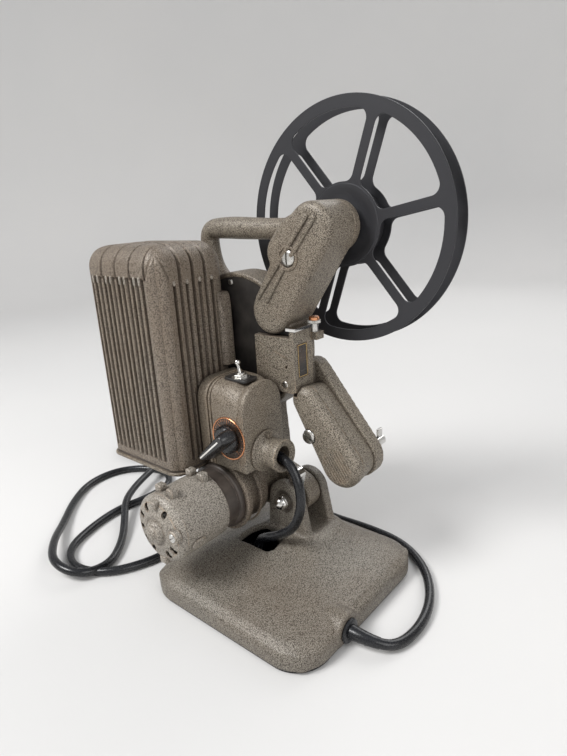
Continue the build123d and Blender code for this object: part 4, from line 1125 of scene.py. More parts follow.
@dataclass
class LampHouse:
    """Ribbed shell over the lamp, its tray, lamp, socket and reflector."""

    x: Flat = (-155.5, -64.0)
    y: Flat = (-49.0, 23.0)
    z: Flat = (100.2, 279.0)
    near_r: float = 14.0
    far_r: float = 8.0
    top_r: float = 18.0
    wall: float = 4.6
    fine_from: float = 106.0
    fine_to: float = 256.0
    fine_first: float = -148.8
    fine_pitch: float = 6.19
    fine_count: int = 12
    fine_half: float = 1.4
    fine_depth: float = 3.1
    side_to: float = 250.0
    side_first: float = -32.3
    side_pitch: float = 6.35
    side_count: int = 8
    side_half: float = 1.25
    side_depth: float = 3.0
    bold_half: float = 1.0
    bold_depth: float = 2.2
    edge: float = 0.45
    band_high: float = 1.5
    arch_z: float = 274.0
    arch_drop: float = 26.0
    arch_fade: float = 3.0
    arch_cut: float = 0.7
    window_top: Flat = (-103.5, 192.0)
    window_foot: Flat = (-103.5, 80.0)
    window_r: float = 12.0
    window_y: Flat = (15.0, 26.0)
    sample: float = 0.5

    def outline(self) -> list[tuple[Vector, Vector]]:
        """Even points round the plan with their outward normals."""
        (x0, x1), (y0, y1), n, f = self.x, self.y, self.near_r, self.far_r
        pieces: list[tuple[float, Callable[[float], tuple[Vector, Vector]]]] = []

        def side(start: Flat, end: Flat, out: Flat) -> None:
            """Adds a straight side."""
            a, b, way = Vector(start), Vector(end), Vector(out)
            pieces.append(((b - a).length, lambda s: (a.lerp(b, s), way)))

        def bend(centre: Flat, r: float, angle: float) -> None:
            """Adds a quarter bend."""
            def spot(share: float) -> tuple[Vector, Vector]:
                """Point and normal at a share of the bend."""
                turn = math.radians(angle + 90 * share)
                out = Vector((math.cos(turn), math.sin(turn)))
                return Vector(centre) + out * r, out
            pieces.append((math.pi * r / 2, spot))

        side((x0 + f, y0), (x1 - n, y0), (0, -1))
        bend((x1 - n, y0 + n), n, -90)
        side((x1, y0 + n), (x1, y1 - n), (1, 0))
        bend((x1 - n, y1 - n), n, 0)
        side((x1 - n, y1), (x0 + f, y1), (0, 1))
        bend((x0 + f, y1 - f), f, 90)
        side((x0, y1 - f), (x0, y0 + f), (-1, 0))
        bend((x0 + f, y0 + f), f, 180)
        spots = []
        for length, place in pieces:
            count = max(4, round(length / self.sample))
            spots += [place(i / count) for i in range(count)]
        return spots

    def fine_grooves(self) -> list[float]:
        """Middles of the narrow grooves across the near face."""
        return [self.fine_first + i * self.fine_pitch for i in range(self.fine_count)]

    def bold_lines(self) -> list[float]:
        """Middles of the lines that run over the top from every third rib."""
        return [self.fine_first + (3 * i - 0.5) * self.fine_pitch for i in range(5)]

    def side_grooves(self) -> list[tuple[float, bool]]:
        """Middles of the end face's grooves, and whether each runs over the top."""
        return [(self.side_first + i * self.side_pitch, i % 2 == 1) for i in range(self.side_count)]

    def groove(self, off: float, half: float, depth: float) -> float:
        """Depth of a groove with sloped walls at an offset from its middle."""
        return depth * min(1.0, max(0.0, (half + self.edge - abs(off)) / (2 * self.edge)))

    def corner_bands(self, out: Vector, z: float) -> float:
        """Two round bands on the near corner, closed above by a pointed arch."""
        share = math.atan2(out.x, -out.y) / (math.pi / 2)
        arch = self.arch_z - self.arch_drop * abs(2 * share - 1) ** 1.4
        fade = max(0.0, min(1.0, (arch - z) / self.arch_fade))
        bands = -self.band_high * abs(math.sin(2 * math.pi * share)) ** 0.8 * fade
        return bands + self.arch_cut * (1 - fade) * (z < arch + 2.5)

    def depth(self, spot: Vector, out: Vector, z: float) -> float:
        """How far the skin lies inside the smooth form at a place.

        Args:
            spot: Place in plan.
            out: Outward normal in plan.
            z: Height, which goes on rising along the rounded top edge.

        Returns:
            Depth in millimetres, negative where a ridge stands out.
        """
        deep = 0.0
        if out.y < -0.99:
            for middle in self.fine_grooves():
                tip = self.fine_to - max(0.0, 1.2 * abs(spot.x - middle) - 0.8)
                if self.fine_from < z < tip:
                    deep = max(deep, self.groove(spot.x - middle, self.fine_half, self.fine_depth))
            if z >= self.fine_to - 2:
                for middle in self.bold_lines():
                    deep = max(deep, self.groove(spot.x - middle, self.bold_half, self.bold_depth))
        elif abs(out.x) > 0.99:
            for middle, over in self.side_grooves():
                if self.fine_from < z < (math.inf if over else self.side_to):
                    deep = max(deep, self.groove(spot.y - middle, self.side_half, self.side_depth))
        elif out.y < -0.05 and out.x > 0.05:
            deep = self.corner_bands(out, z)
        return deep

    def levels(self) -> list[tuple[float, float, float]]:
        """Height, drawing in and groove height of each ring, from the rim to the middle of the top."""
        straight = self.z[1] - self.top_r
        walls = [self.fine_from - 0.6, self.fine_from + 0.2]
        walls += [self.fine_from + (self.side_to - 8 - self.fine_from) * i / 10 for i in range(1, 11)]
        walls += [self.side_to - 3 + 0.6 * i for i in range(9)]
        walls += [self.fine_to - 2.4 + 0.6 * i for i in range(7)]
        walls += [self.fine_to + 2, self.fine_to + 5, straight]
        levels = [(z, 0.0, z) for z in [self.z[0]] + sorted(walls)]
        for i in range(1, 13):
            angle = math.radians(90 * i / 12)
            levels.append((straight + self.top_r * math.sin(angle), self.top_r * (1 - math.cos(angle)),
                           straight + self.top_r * angle))
        levels += [(self.z[1], self.top_r + i * 2.4, self.z[1] + 20.0) for i in range(1, 9)]
        return levels

    def shell(self) -> None:
        """Shell with grooved walls that stop in round tips, lines over the top and a closed rim."""
        spots = self.outline()
        rings = []
        middle = Vector(((self.x[0] + self.x[1]) / 2, (self.y[0] + self.y[1]) / 2))
        for z, draw_in, along in self.levels():
            ring = []
            for spot, out in spots:
                deep = self.depth(spot, out, along)
                flat = max(0.0, min(1.0, draw_in / self.top_r))
                held = min(draw_in, self.top_r)
                place = spot - out * (held + deep * (1 - flat))
                if held > self.far_r:
                    place.x = min(max(place.x, self.x[0] + held), self.x[1] - held)
                    place.y = min(max(place.y, self.y[0] + held), self.y[1] - held)
                if draw_in > self.top_r:
                    share = (draw_in - self.top_r) / 30.0
                    place = place.lerp(middle, share)
                ring.append((place.x, place.y, z - deep * flat))
            rings.append(ring)
        inner = [[(*(s - o * by), z) for s, o in spots]
                 for z, by in ((self.z[1] - self.wall, self.far_r), (self.z[1] - self.top_r, self.wall),
                               (self.z[0], self.wall))]
        thing = Shape().cup(rings, inner).raw("lamp_house_shell")
        weld(thing)
        settle(thing)
        window = capsule(self.window_top, self.window_r, self.window_foot, self.window_r, 16)
        combine(thing, Shape().slab(Way.Y, window, *self.window_y), Cut.AWAY)
        dress(thing, HAMMER_BROWN, "lamphouse", ("lamphouse_shell",), 40)

    def pod(self) -> None:
        """Side bulge of the shell with its sloped top."""
        low, bend, high, out = 176.0, 216.0, 237.0, self.x[1] + 4.5
        outline = rounded((self.x[1] - 14, 8.6), (out, 22.8), (4.5, 4.5, 2, 2), 6, 3)
        rings = [[(u, v, z) for u, v in inset(outline, by)]
                 for by, z in ((0.8, low), (0, low + 0.8), (0, 205), (0, bend))]
        for i in range(1, 8):
            rise = i / 7
            z = bend + (high - bend) * math.sin(rise * math.pi / 2)
            rings.append([(min(u, out - 5.5 * rise ** 1.6), v, z)
                          for u, v in inset(outline, 1.0 * rise ** 2)])
        dress(Shape().stack(rings).raw("shell_pod"), HAMMER_BROWN, "lamphouse")

    def rib_tips(self) -> None:
        """Round tips of the ribs under the top edge of both ribbed faces, in lighter enamel for their rub and
        as a painted highlight.
        """
        shape = Shape()
        near = seated(self.y[0], [(0, 0.6), (0, -0.25), (0.35, -0.75), (0.8, -0.95)])
        for i in range(self.fine_count - 1):
            if i % 3 != 2:
                x = self.fine_first + (i + 0.5) * self.fine_pitch
                bar = capsule((x, self.fine_to - 5.0), 1.2, (x, self.fine_to - 0.6), 1.35, 8)
                shape.push(Way.Y, bar, near)
        end = seated(self.x[1], [(0, -1.0), (0, 0.2), (0.35, 0.6), (0.8, 0.75)])
        for y, over in self.side_grooves():
            if not over:
                bar = capsule((y, self.side_to - 0.2), 1.3, (y, self.side_to + 1.2), 1.3, 8)
                shape.push(Way.X, bar, end)
        # Lighter motor enamel: partly rubbed paint, partly painted highlight on the tips.
        dress(shape.raw("rib_tips"), HAMMER_LIGHT, "lamphouse")

    def lip(self) -> None:
        """Bright rolled lip of the tray under the shell, cut back round the motor."""
        (x0, x1), (y0, y1) = self.x, self.y
        outline = rounded((x0, y0), (x1, y1), (self.near_r, self.near_r, self.far_r, self.far_r), 10, 8)
        profile = [(0.5, 95.0), (-1.6, 95.3), (-2.1, 96.0), (-2.1, 97.4), (-1.6, 98.1), (0.5, 98.4),
                   (4, 98.4), (4, 95.0)]
        rings = [[(u, v, z) for u, v in inset(outline, by)] for by, z in profile]
        thing = Shape().loop(rings).raw("tray_lip")
        motor = Shape().turn(Way.Y, MOTOR_AXIS, [(28.6, -81), (28.6, -21.2), (32.6, -21.2), (32.6, 9)], 72)
        combine(thing, motor, Cut.AWAY)
        dress(thing, HAMMER, "head")

    def build(self) -> None:
        """Makes the lamp house."""
        self.shell()
        self.pod()
        self.rib_tips()
        self.lip()
        dress_node("lamp_tray", DARK_TRAY_AND_BAND_SHADE, 0.5)
        dress_node("lamp_socket", CERAMIC, 0.5)
        dress_node("projection_lamp", GLASS, 0.2)
        dress_node("reflector", MIRROR, 0.3)


@dataclass
class Motor:
    """Side motor: barrel, vented cap, neck, and the works inside."""

    r: float = 27.5
    y: Flat = (-80.0, -20.0)
    band_y: float = -37.2
    cap_y: float = -87.0
    boss_y: float = -95.0
    wall: float = 3.0
    vents: tuple[float, ...] = (58.0, 122.0, 154.0, 186.0, 216.0, 246.0, 300.0, 326.0)
    vent_at: float = 19.8
    vent_r: float = 2.3
    dome: float = 5.5
    ridges: tuple[Flat, ...] = ((-19.8, -17.0), (-5.5, -3.2))
    cover_turn: float = math.radians(-20)
    cover_y: float = -70.0
    lug_y: Flat = (-74.0, -44.0)
    steps: int = 96

    def around(self, angle: float, reach: float) -> Flat:
        """X and Z at an angle and reach from the motor's axis."""
        turn = math.radians(angle)
        return MOTOR_AXIS[0] + reach * math.cos(turn), MOTOR_AXIS[1] + reach * math.sin(turn)

    def barrel(self) -> None:
        """Barrel with a slight swell and eased ends."""
        a, b = self.y
        r, bore, end = self.r, self.r - self.wall, self.band_y
        profile = [(r - 0.4, a + 0.05), (r, a + 0.6), (r, a + 20), (r + 0.15, -50), (r, end - 0.8),
                   (r - 0.6, end), (bore, end), (bore, a + 0.05)]
        thing = Shape().hollow_turn(Way.Y, MOTOR_AXIS, profile, self.steps).raw("motor_barrel")
        dress(thing, HAMMER_LIGHT, "head", ("motor_housing",))
        # The dark rear band is painted shade: it stands for the shadowed back of the barrel, in the barrel's
        # own form.
        band = [(r - 2.0, end - 0.5), (r - 2.0, b - 5.2), (r - 0.2, b - 4.6), (r + 0.5, b - 3.6),
                (r + 0.5, b - 0.7), (r - 0.2, b), (bore, b), (bore, end - 0.5)]
        thing = Shape().hollow_turn(Way.Y, MOTOR_AXIS, band, self.steps).raw("rear_band_painted_shade")
        dress(thing, DARK_TRAY_AND_BAND_SHADE, "head")
        shape = Shape()
        for low, high in self.ridges:
            ridge = [(30.4, low), (31.4, low + 0.2), (31.9, low + 0.8), (31.9, high - 0.8),
                     (31.4, high - 0.2), (30.4, high)]
            shape.hollow_turn(Way.Y, MOTOR_AXIS, ridge, self.steps)
        dress(shape.raw("neck_ridges"), HAMMER_BROWN, "head")

    def cap(self) -> None:
        """Domed cap with oval vents and a ringed bearing boss."""
        edge, dome = self.y[0], self.dome
        outer = [(self.r, edge)]
        for angle in (20, 40, 60, 78):
            turn = math.radians(angle)
            outer.append((self.r - dome * (1 - math.cos(turn)), edge - dome * math.sin(turn)))
        outer += seated(self.cap_y, [(20.5, 0), (15.5, -0.4), (14.4, -1.4), (13.2, -1.6), (11.6, -1.4),
                                     (10.4, -0.8), (9.2, -1.2), (8.6, -3.4), (7.6, -4.6), (6.0, -5.2),
                                     (5.2, -6.6)])
        outer += [(3.6, self.boss_y + 0.5), (1.6, self.boss_y)]
        bore = self.r - self.wall
        inner = [(6.0, self.cap_y + 1.3), (bore - 2, self.cap_y + 1.3), (bore, edge - 2), (bore, edge)]
        skins = [turned(Way.Y, MOTOR_AXIS, pairs, self.steps) for pairs in (outer, inner)]
        thing = Shape().cup(*skins).raw("motor_cap")
        for angle in self.vents:
            near, far = self.around(angle, self.vent_at - 1.6), self.around(angle, self.vent_at + 1.0)
            hole = capsule(near, self.vent_r, far, self.vent_r, 10)
            combine(thing, Shape().slab(Way.Y, hole, self.cap_y - 8, edge + 1), Cut.AWAY)
        dress(thing, HAMMER_LIGHT, "head", ("motor_end_cap",), 38)

    def fittings(self) -> None:
        """Lug, slotted brush terminal, brush cover, foot lug and the straps to the tray."""
        cap = self.cap_y
        lug = Shape().push(Way.Y, pad(self.around(88, 22.5), (-3, -3), (3, 3), 0.8),
                           seated(cap, [(0.8, -2.6), (0, -1.8), (0, 2)]))
        lug.push(Way.Y, pad(self.around(272, 25.0), (-4, -4), (4, 3), 1.5),
                 [(1, cap + 0.5), (0, cap + 1.5), (0, self.y[0] + 6)])
        dress(lug.raw("cap_lugs"), HAMMER_LIGHT, "head")
        ring = self.around(8, 21.5)
        holder = seated(cap, [(5.6, 2), (5.6, -2.2), (5.0, -3), (3.8, -3), (3.6, -1.6), (0, -1.6)])
        dress(Shape().turn(Way.Y, ring, holder).raw("brush_holder"), HAMMER_LIGHT, "head")
        dress(screw(Way.Y, ring, 3.3, cap - 1.6, -1, 2.2, 35).raw("brush_terminal"), STEEL, "head")
        outline = capsule((-2.4, 0.0), 4.2, (2.4, 0.0), 4.2, 14)
        rings = []
        for shrink, rise in ((0.0, -1.5), (0.0, 0.9), (0.8, 1.5), (1.6, 1.3)):
            spots, reach = [], self.r + rise
            for u, v in inset(outline, shrink):
                turn = self.cover_turn + v / self.r
                spots.append((MOTOR_AXIS[0] + reach * math.cos(turn), self.cover_y + u,
                              MOTOR_AXIS[1] + reach * math.sin(turn)))
            rings.append(spots)
        dress(Shape().stack(rings).raw("brush_cover"), HAMMER_LIGHT, "head")
        strap = Shape()
        for y in self.lug_y:
            for side in (104.0, 76.0):
                outline = pad(self.around(side, self.r + 0.5), (-3.4, -4), (3.4, 5), 1.2)
                strap.push(Way.Y, outline, seated(y, [(0.8, -3.4), (0, -2.6), (0, 2.6), (0.8, 3.4)]))
        dress(strap.raw("barrel_lugs"), HAMMER_LIGHT, "head")

    def build(self) -> None:
        """Makes the motor."""
        self.barrel()
        self.cap()
        self.fittings()
        cast_node("motor_flange", "motor_neck", HAMMER_BROWN, 0.7, 3)
        for node in ("motor_stator", "motor_rotor", "blower_fan", "motor_pulley"):
            dress_node(node, IRON if "fan" not in node else STEEL, 0.2)


@dataclass
class ControlBox:
    """Box under the arm with the dial, knob, toggle and lead socket."""

    x: Flat = (-50.0, -8.5)
    y: Flat = (-27.0, 18.0)
    z: Flat = (105.0, 175.0)
    toggle: Flat = (-27.0, -7.0)
    dial_r: float = 17.5
    dial_start: float = 225.0
    ticks: int = 31
    tick_r: float = 15.6
    numeral_r: float = 11.9
    socket: Flat = (-5.0, 118.0)
    knob_tip: Flat = (-42.5, 117.5)
    knob_tail: Flat = (-20.5, 136.0)

    def body(self) -> None:
        """Box with a round end lobe, a dip beside it and a soft near edge."""
        # Place along X, how far the sides are drawn in and the top sunk, near and far corner radii
        stations = [(-50.0, 1.0, 1.0, 15, 9), (-49.4, 0.0, 0.0, 16, 10), (-47.6, 0.0, 0.0, 16, 10),
                    (-47.1, 1.2, 1.2, 15, 9), (-46.1, 1.2, 1.2, 15, 9), (-45.6, 0.0, 0.0, 16, 10),
                    (-43.8, 0.0, 0.0, 16, 10), (-43.4, 0.9, 0.9, 15, 9), (-42.6, 0.9, 0.9, 15, 9),
                    (-42.2, 0.0, 0.0, 16, 10), (-32, 0.0, 0.0, 17, 11),
                    (-25, 0.0, 0.4, 17, 12), (-20.5, 0.1, 1.6, 18, 14), (-17.5, 0.3, 2.3, 20, 17),
                    (-15.0, 0.2, 1.6, 21, 19), (-12.8, 0.0, 0.2, 22, 20), (-10.4, 0.0, 0.0, 22, 20),
                    (-9.3, 0.3, 0.3, 22, 20), (-8.7, 1.0, 1.0, 21, 19), (-8.5, 2.0, 2.0, 20, 18)]
        rings = []
        for x, draw, sink, near, far in stations:
            low = (self.y[0] + draw, self.z[0] + draw * 0.6)
            high = (self.y[1] - draw, self.z[1] - sink)
            outline = rounded(low, high, (1.5, far, near, 1.5), 10, 5)
            rings.append([(x, u, v) for u, v in outline])
        dress(Shape().stack(rings).raw("control_box_shell"), HAMMER, "head", ("control_box",), 50)
        flutes = Shape()
        profile = seated(self.y[0], [(0, 0.3), (0, -0.12), (0.25, -0.3)])
        for i in range(5):
            x = -15.4 + 1.5 * i
            bar = capsule((x, 108.0 + 2 * i), 0.42, (x, 158.0 - 3.0 * abs(i - 2)), 0.42, 6)
            flutes.push(Way.Y, bar, profile)
        dress(flutes.raw("box_flutes"), HAMMER, "head")

    def dial(self) -> None:
        """Black dial with a copper rim and ticks."""
        face, r = self.y[0], self.dial_r
        disc = seated(face, [(r - 0.8, 0.02), (r - 0.8, -0.7), (0, -0.7)])
        plate = Shape().turn(Way.Y, DIAL_AXIS, disc, 72)
        dress(plate.raw("dial_disc"), DIAL_BLACK, "head", ("dial_plate",))
        rim = seated(face, [(r, 0), (r, -0.8), (r - 0.4, -1.1), (r - 1.1, -0.9), (r - 1.1, 0)])
        trim = Shape().hollow_turn(Way.Y, DIAL_AXIS, rim, 72)
        centre = Vector(DIAL_AXIS)
        for i in range(self.ticks):
            angle = math.radians(self.dial_start - 9 * i)
            long = 2.3 if i % 5 == 0 else 1.3
            along = Vector((math.cos(angle), math.sin(angle)))
            side = Vector((-along.y, along.x)) * 0.16
            tick = stroke(centre + along * (self.tick_r - long), centre + along * self.tick_r, side)
            trim.slab(Way.Y, tick, face - 0.6, face - 0.85)
        dress(trim.raw("dial_rim"), COPPER, "head")

    def numerals(self) -> None:
        """Plain numbers 0 to 6 round the dial."""
        for i in range(7):
            angle = math.radians(self.dial_start - 45 * i)
            data = bpy.data.curves.new("numeral", "FONT")
            data.body = str(i)
            data.size = 2.9 * MM
            data.extrude = 0.08 * MM
            data.align_x, data.align_y = "CENTER", "CENTER"
            numeral = placed(f"dial_number_{i}", data)
            spot = Vector((DIAL_AXIS[0] + self.numeral_r * math.cos(angle), self.y[0] - 0.72,
                           DIAL_AXIS[1] + self.numeral_r * math.sin(angle)))
            numeral.matrix_world = Matrix.Translation(spot * MM) @ Matrix.Rotation(math.pi / 2, 4, "X")
            dress(settle_text(numeral), COPPER, "head")

    def knob(self) -> None:
        """Black bar knob on a round skirt, with its white pointer line."""
        face = self.y[0] - 1.5
        skirt = seated(face, [(11.2, 0), (11.6, -0.8), (11.0, -3.6), (9.6, -4.8), (0, -4.9)])
        shape = Shape().turn(Way.Y, DIAL_AXIS, skirt)
        outline = capsule(self.knob_tail, 5.8, self.knob_tip, 4.3, 16)
        shape.push(Way.Y, outline, seated(face, [(-0.7, -1.5), (-0.4, -4.5), (0.3, -8.5), (1.1, -11.5),
                                                 (1.9, -13.2), (2.6, -14.0)]))
        dress(shape.raw("bar_knob"), PHENOLIC, "speed_control", ("speed_knob",), 40)
        head, tip = Vector(DIAL_AXIS), Vector(self.knob_tip)
        along = (tip - head).normalized()
        outline = stroke(head - along * 5.0, tip + along * 1.2, Vector((-along.y, along.x)) * 0.6)
        line = Shape().slab(Way.Y, outline, face - 13.9, face - 14.3)
        dress(line.raw("pointer_line"), WHITE_INK, "speed_control")

    def switch(self) -> None:
        """Dark plate with its hexagon nut, collar and ball lever."""
        top = self.z[1]
        cx, cy = self.toggle
        outline = rounded((cx - 12.5, cy - 7.5), (cx + 11.5, cy + 8.0), (3.0, 3.0, 3.0, 3.0), 5, 8)
        plate = Shape().push(Way.Z, outline, seated(top, [(0, -0.4), (0, 0.9), (0.4, 1.3)]))
        dress(plate.raw("switch_plate"), BLACK, "head", ("toggle_plate",))
        nut = [(cx + 5.6 * math.cos(a), cy + 5.6 * math.sin(a))
               for a in (math.radians(60 * i + 15) for i in range(6))]
        collar = Shape().turn(Way.Z, self.toggle, seated(top, [(7.2, 1.3), (7.2, 1.7), (6.6, 1.9), (0, 1.9)]))
        collar.push(Way.Z, nut, seated(top, [(0, 1.9), (0, 3.5), (0.5, 3.9)]))
        collar.turn(Way.Z, self.toggle, seated(top, [(3.6, 3.6), (3.6, 5.0), (3.2, 5.3), (0, 5.0)]))
        dress(collar.raw("switch_collar"), STEEL, "head")
        lean = Matrix.Rotation(math.radians(-12), 4, "Y")
        ball = [(1.9, 2.5), (1.5, 5.0), (1.25, 8.5), (1.2, 10.4), (1.5, 10.9), (2.1, 11.4), (2.4, 12.3),
                (2.3, 13.2), (1.7, 14.1), (0.8, 14.5), (0, 14.6)]
        lever = Shape().turn(Way.Z, (0.0, 0.0), ball, 24)
        base = Vector((cx, cy, top + 0.5))
        lever.points = [tuple(base + lean @ Vector(p)) for p in lever.points]
        dress(lever.raw("ball_lever"), CHROME, "motor_switch", ("toggle_lever",))

    def lead_socket(self) -> None:
        """Flanged socket with a flared mouth for the lead."""
        x = self.x[1]
        profile = seated(x, [(17, 0.05), (17, 1.6), (16.2, 2.4), (14.6, 2.7), (13.6, 3.4), (12.2, 5),
                             (12.0, 12), (12.6, 15.5), (13.2, 18.2), (12.9, 20.0), (11.8, 20.5), (9.6, 20.3),
                             (7.6, 18.5), (7.2, 9), (3.9, 8.8), (3.9, 0.05)])
        thing = Shape().hollow_turn(Way.X, self.socket, profile, 72).raw("lead_socket")
        dress(thing, HAMMER, "head", ("cord_socket",), 40)
        tab = Shape().push(Way.X, pad(self.socket, (-2.4, 11.5), (2.4, 15.4), 0.8),
                           seated(x, [(0, 2), (0, 6.5), (0.6, 7)]))
        dress(tab.raw("socket_key"), HAMMER, "head")

    def build(self) -> None:
        """Makes the control box."""
        self.body()
        self.dial()
        self.numerals()
        self.knob()
        self.switch()
        self.lead_socket()
        cast_node("control_box_back", "box_rear_shell", HAMMER, 0.8, 3)


def settle_text(text: bpy.types.Object) -> bpy.types.Object:
    """Turns a text object into a mesh object of the same name and place."""
    graph = bpy.context.evaluated_depsgraph_get()
    graph.update()
    name = text.name
    mesh = bpy.data.meshes.new_from_object(text.evaluated_get(graph))
    mesh.transform(text.matrix_world)
    bpy.data.objects.remove(text)
    return placed(name, mesh)


@dataclass
class Arms:
    """Upper arm with its hump and raised bands, lower arm, screws and the carrying handle."""

    near: float = 18.0
    far: float = 50.0
    low: Flat = (-17.5, 223.0)
    low_r: float = 18.0
    top_r: float = 19.0
    hump: tuple[Flat, float, Flat, float] = ((-2.0, 268.0), 15.0, (8.0, 282.0), 13.0)
    wall: float = 3.5
    drum_r: float = 60.2
    lower_top: Flat = (12.0, 154.0)
    lower_top_r: float = 12.0
    lower_r: float = 18.0
    split: float = 45.0
    handle_y: float = 38.0
    handle_route: tuple[Flat, ...] = (
        (-86.0, 241.0), (-90.0, 248.0), (-96.0, 263.0), (-97.5, 285.5), (-76.0, 286.5), (-48.0, 285.5),
        (-20.0, 284.5), (4.0, 284.5))
    upper_screw: Flat = (5.5, 265.0)
    lower_screw: Flat = (17.5, 127.0)
    well_r: float = 6.8
    bands: tuple[tuple[Flat, Flat], ...] = (
        ((24.0, 293.5), (-25.5, 235.0)), ((31.0, 293.0), (9.5, 267.0)), ((0.5, 256.5), (-17.0, 232.5)))

    def sink(self, arm: bpy.types.Object, at: Flat) -> None:
        """Shallow well round a screw of an arm."""
        well = Shape().turn(Way.Y, at, seated(self.near, [(self.well_r, -1), (self.well_r, 1.5)]), 40)
        combine(arm, well, Cut.AWAY)

    def upper(self) -> None:
        """Hollow upper arm with a soft near edge, its hump and raised bands."""
        hump = capsule(*self.hump, 24)
        arm = capsule(self.low, self.low_r, FEED_AXIS, self.top_r, 30)
        outline = star_union([arm, hump], (3.0, 254.0), 150)
        profile = soft_edge(6.0, self.near, 1, 7) + [(0, self.far)]
        thing = Shape().push(Way.Y, outline, profile).raw("upper_arm_casting")
        inner = capsule(self.low, self.low_r - self.wall, FEED_AXIS, self.top_r - self.wall, 24)
        combine(thing, Shape().slab(Way.Y, inner, self.near + self.wall + 2, self.far + 1), Cut.AWAY)
        drum = Shape().slab(Way.Y, circle(SHUTTER_AXIS, self.drum_r, 160), 25, self.far + 1)
        combine(thing, drum, Cut.AWAY)
        self.sink(thing, self.upper_screw)
        dress(thing, HAMMER, "head", ("upper_arm",), 42)
        shape = Shape()
        profile = seated(self.near, [(0.0, 1.0), (0.0, -0.4), (0.25, -1.0), (0.7, -1.45), (1.3, -1.65),
                                     (1.8, -1.7)])
        for head, tail in self.bands:
            shape.push(Way.Y, capsule(head, 2.0, tail, 2.0, 12), profile)
        dress(shape.raw("arm_bands"), HAMMER, "head", (), 60)
        profile = seated(self.near, [(9.6, 0.4), (9.3, -0.7), (8.6, -1.0), (7.4, -0.9), (self.well_r, -0.2),
                                     (self.well_r, 0.6)])
        collar = Shape().hollow_turn(Way.Y, self.upper_screw, profile, 48)
        dress(collar.raw("screw_collar"), HAMMER, "head")

    def lower(self) -> None:
        """Hollow near half of the lower arm with its ribbed pad."""
        top_r, end_r, seam = self.lower_top_r, self.lower_r, self.near + 9.0
        profile = seated(self.near, [(4.6, 0), (4.1, 0.15), (0.9, 3.2), (0.2, 4.2), (0.0, 5.4)])
        profile += seated(seam, [(0.0, -0.3), (1.3, 0), (1.3, 0.6), (0.6, 0.9), (0.9, 6.0)])
        profile.append((2.2, self.split - 0.25))
        outline = capsule(self.lower_top, top_r, TAKEUP_AXIS, end_r, 28)
        thing = Shape().push(Way.Y, outline, profile).raw("lower_arm_casting")
        inner = capsule(self.lower_top, top_r - self.wall - 1.0, TAKEUP_AXIS, end_r - self.wall - 1.0, 20)
        combine(thing, Shape().slab(Way.Y, inner, self.near + 4, self.split + 1), Cut.AWAY)
        block = [(-40.0, 157.8), (8.2, 157.8), (8.2, 220.0), (-40.0, 220.0)]
        combine(thing, Shape().slab(Way.Y, block, 10, self.split + 1), Cut.AWAY)
        self.sink(thing, self.lower_screw)
        dress(thing, HAMMER, "head", ("lower_arm_cover",), 36)
        ribs = Shape()
        along = (Vector(TAKEUP_AXIS) - Vector(self.lower_top)).normalized()
        across = Vector((-along.y, along.x))
        middle = Vector(TAKEUP_AXIS) - along * 1.5
        profile = seated(self.near, [(0, 0.8), (0, -0.25), (0.3, -0.6)])
        for i in range(9):
            off = (i - 4) * 2.45
            half = 12.6 * math.sqrt(max(0.0, 1 - (off / 12.2) ** 2)) * 1.1
            a, b = middle + across * off - along * half, middle + across * off + along * half
            ribs.push(Way.Y, capsule(tuple(a), 0.85, tuple(b), 0.85, 8), profile)
        dress(ribs.raw("pad_ribs"), HAMMER, "head")

    def handle(self) -> None:
        """Round grip that bends down to the housing and swells at its foot."""
        line = spline_line([(x, self.handle_y, z) for x, z in self.handle_route])
        radii = []
        for i in range(len(line)):
            share = i / (len(line) - 1)
            foot = 3.2 * max(0.0, 1 - share / 0.2) ** 2
            grip = 0.9 * math.exp(-((share - 0.66) / 0.16) ** 2)
            radii.append(8.0 + foot + grip)
        dress(Shape().tube(line, radii, 28).raw("handle_bar"), HAMMER, "head", ("carry_handle",), 60)

    def screws(self) -> None:
        """Slotted screws of both arms, the gate plate and the black cover."""
        heads = Shape()
        for part in (screw(Way.Y, self.upper_screw, 6.0, self.near + 1.4, -1, 3.0, 90),
                     screw(Way.Y, self.lower_screw, 5.6, self.near + 1.4, -1, 3.0, 150),
                     screw(Way.Y, (-4.5, 166.0), 3.0, 20.4, -1, 2.2, 120),
                     screw(Way.Y, (-63.0, 243.7), 2.3, 26.2, -1, 1.9, 60)):
            first = len(heads.points)
            heads.points += part.points
            heads.faces += [tuple(n + first for n in face) for face in part.faces]
        dress(heads.raw("slotted_heads"), STEEL, "head", ("slotted_screws",), 40)

    def build(self) -> None:
        """Makes both arms and the handle."""
        self.upper()
        self.lower()
        self.screws()
        self.handle()
        cast_node("arm_back_cover", "arm_rear_cover", HAMMER, 0.9, 4)


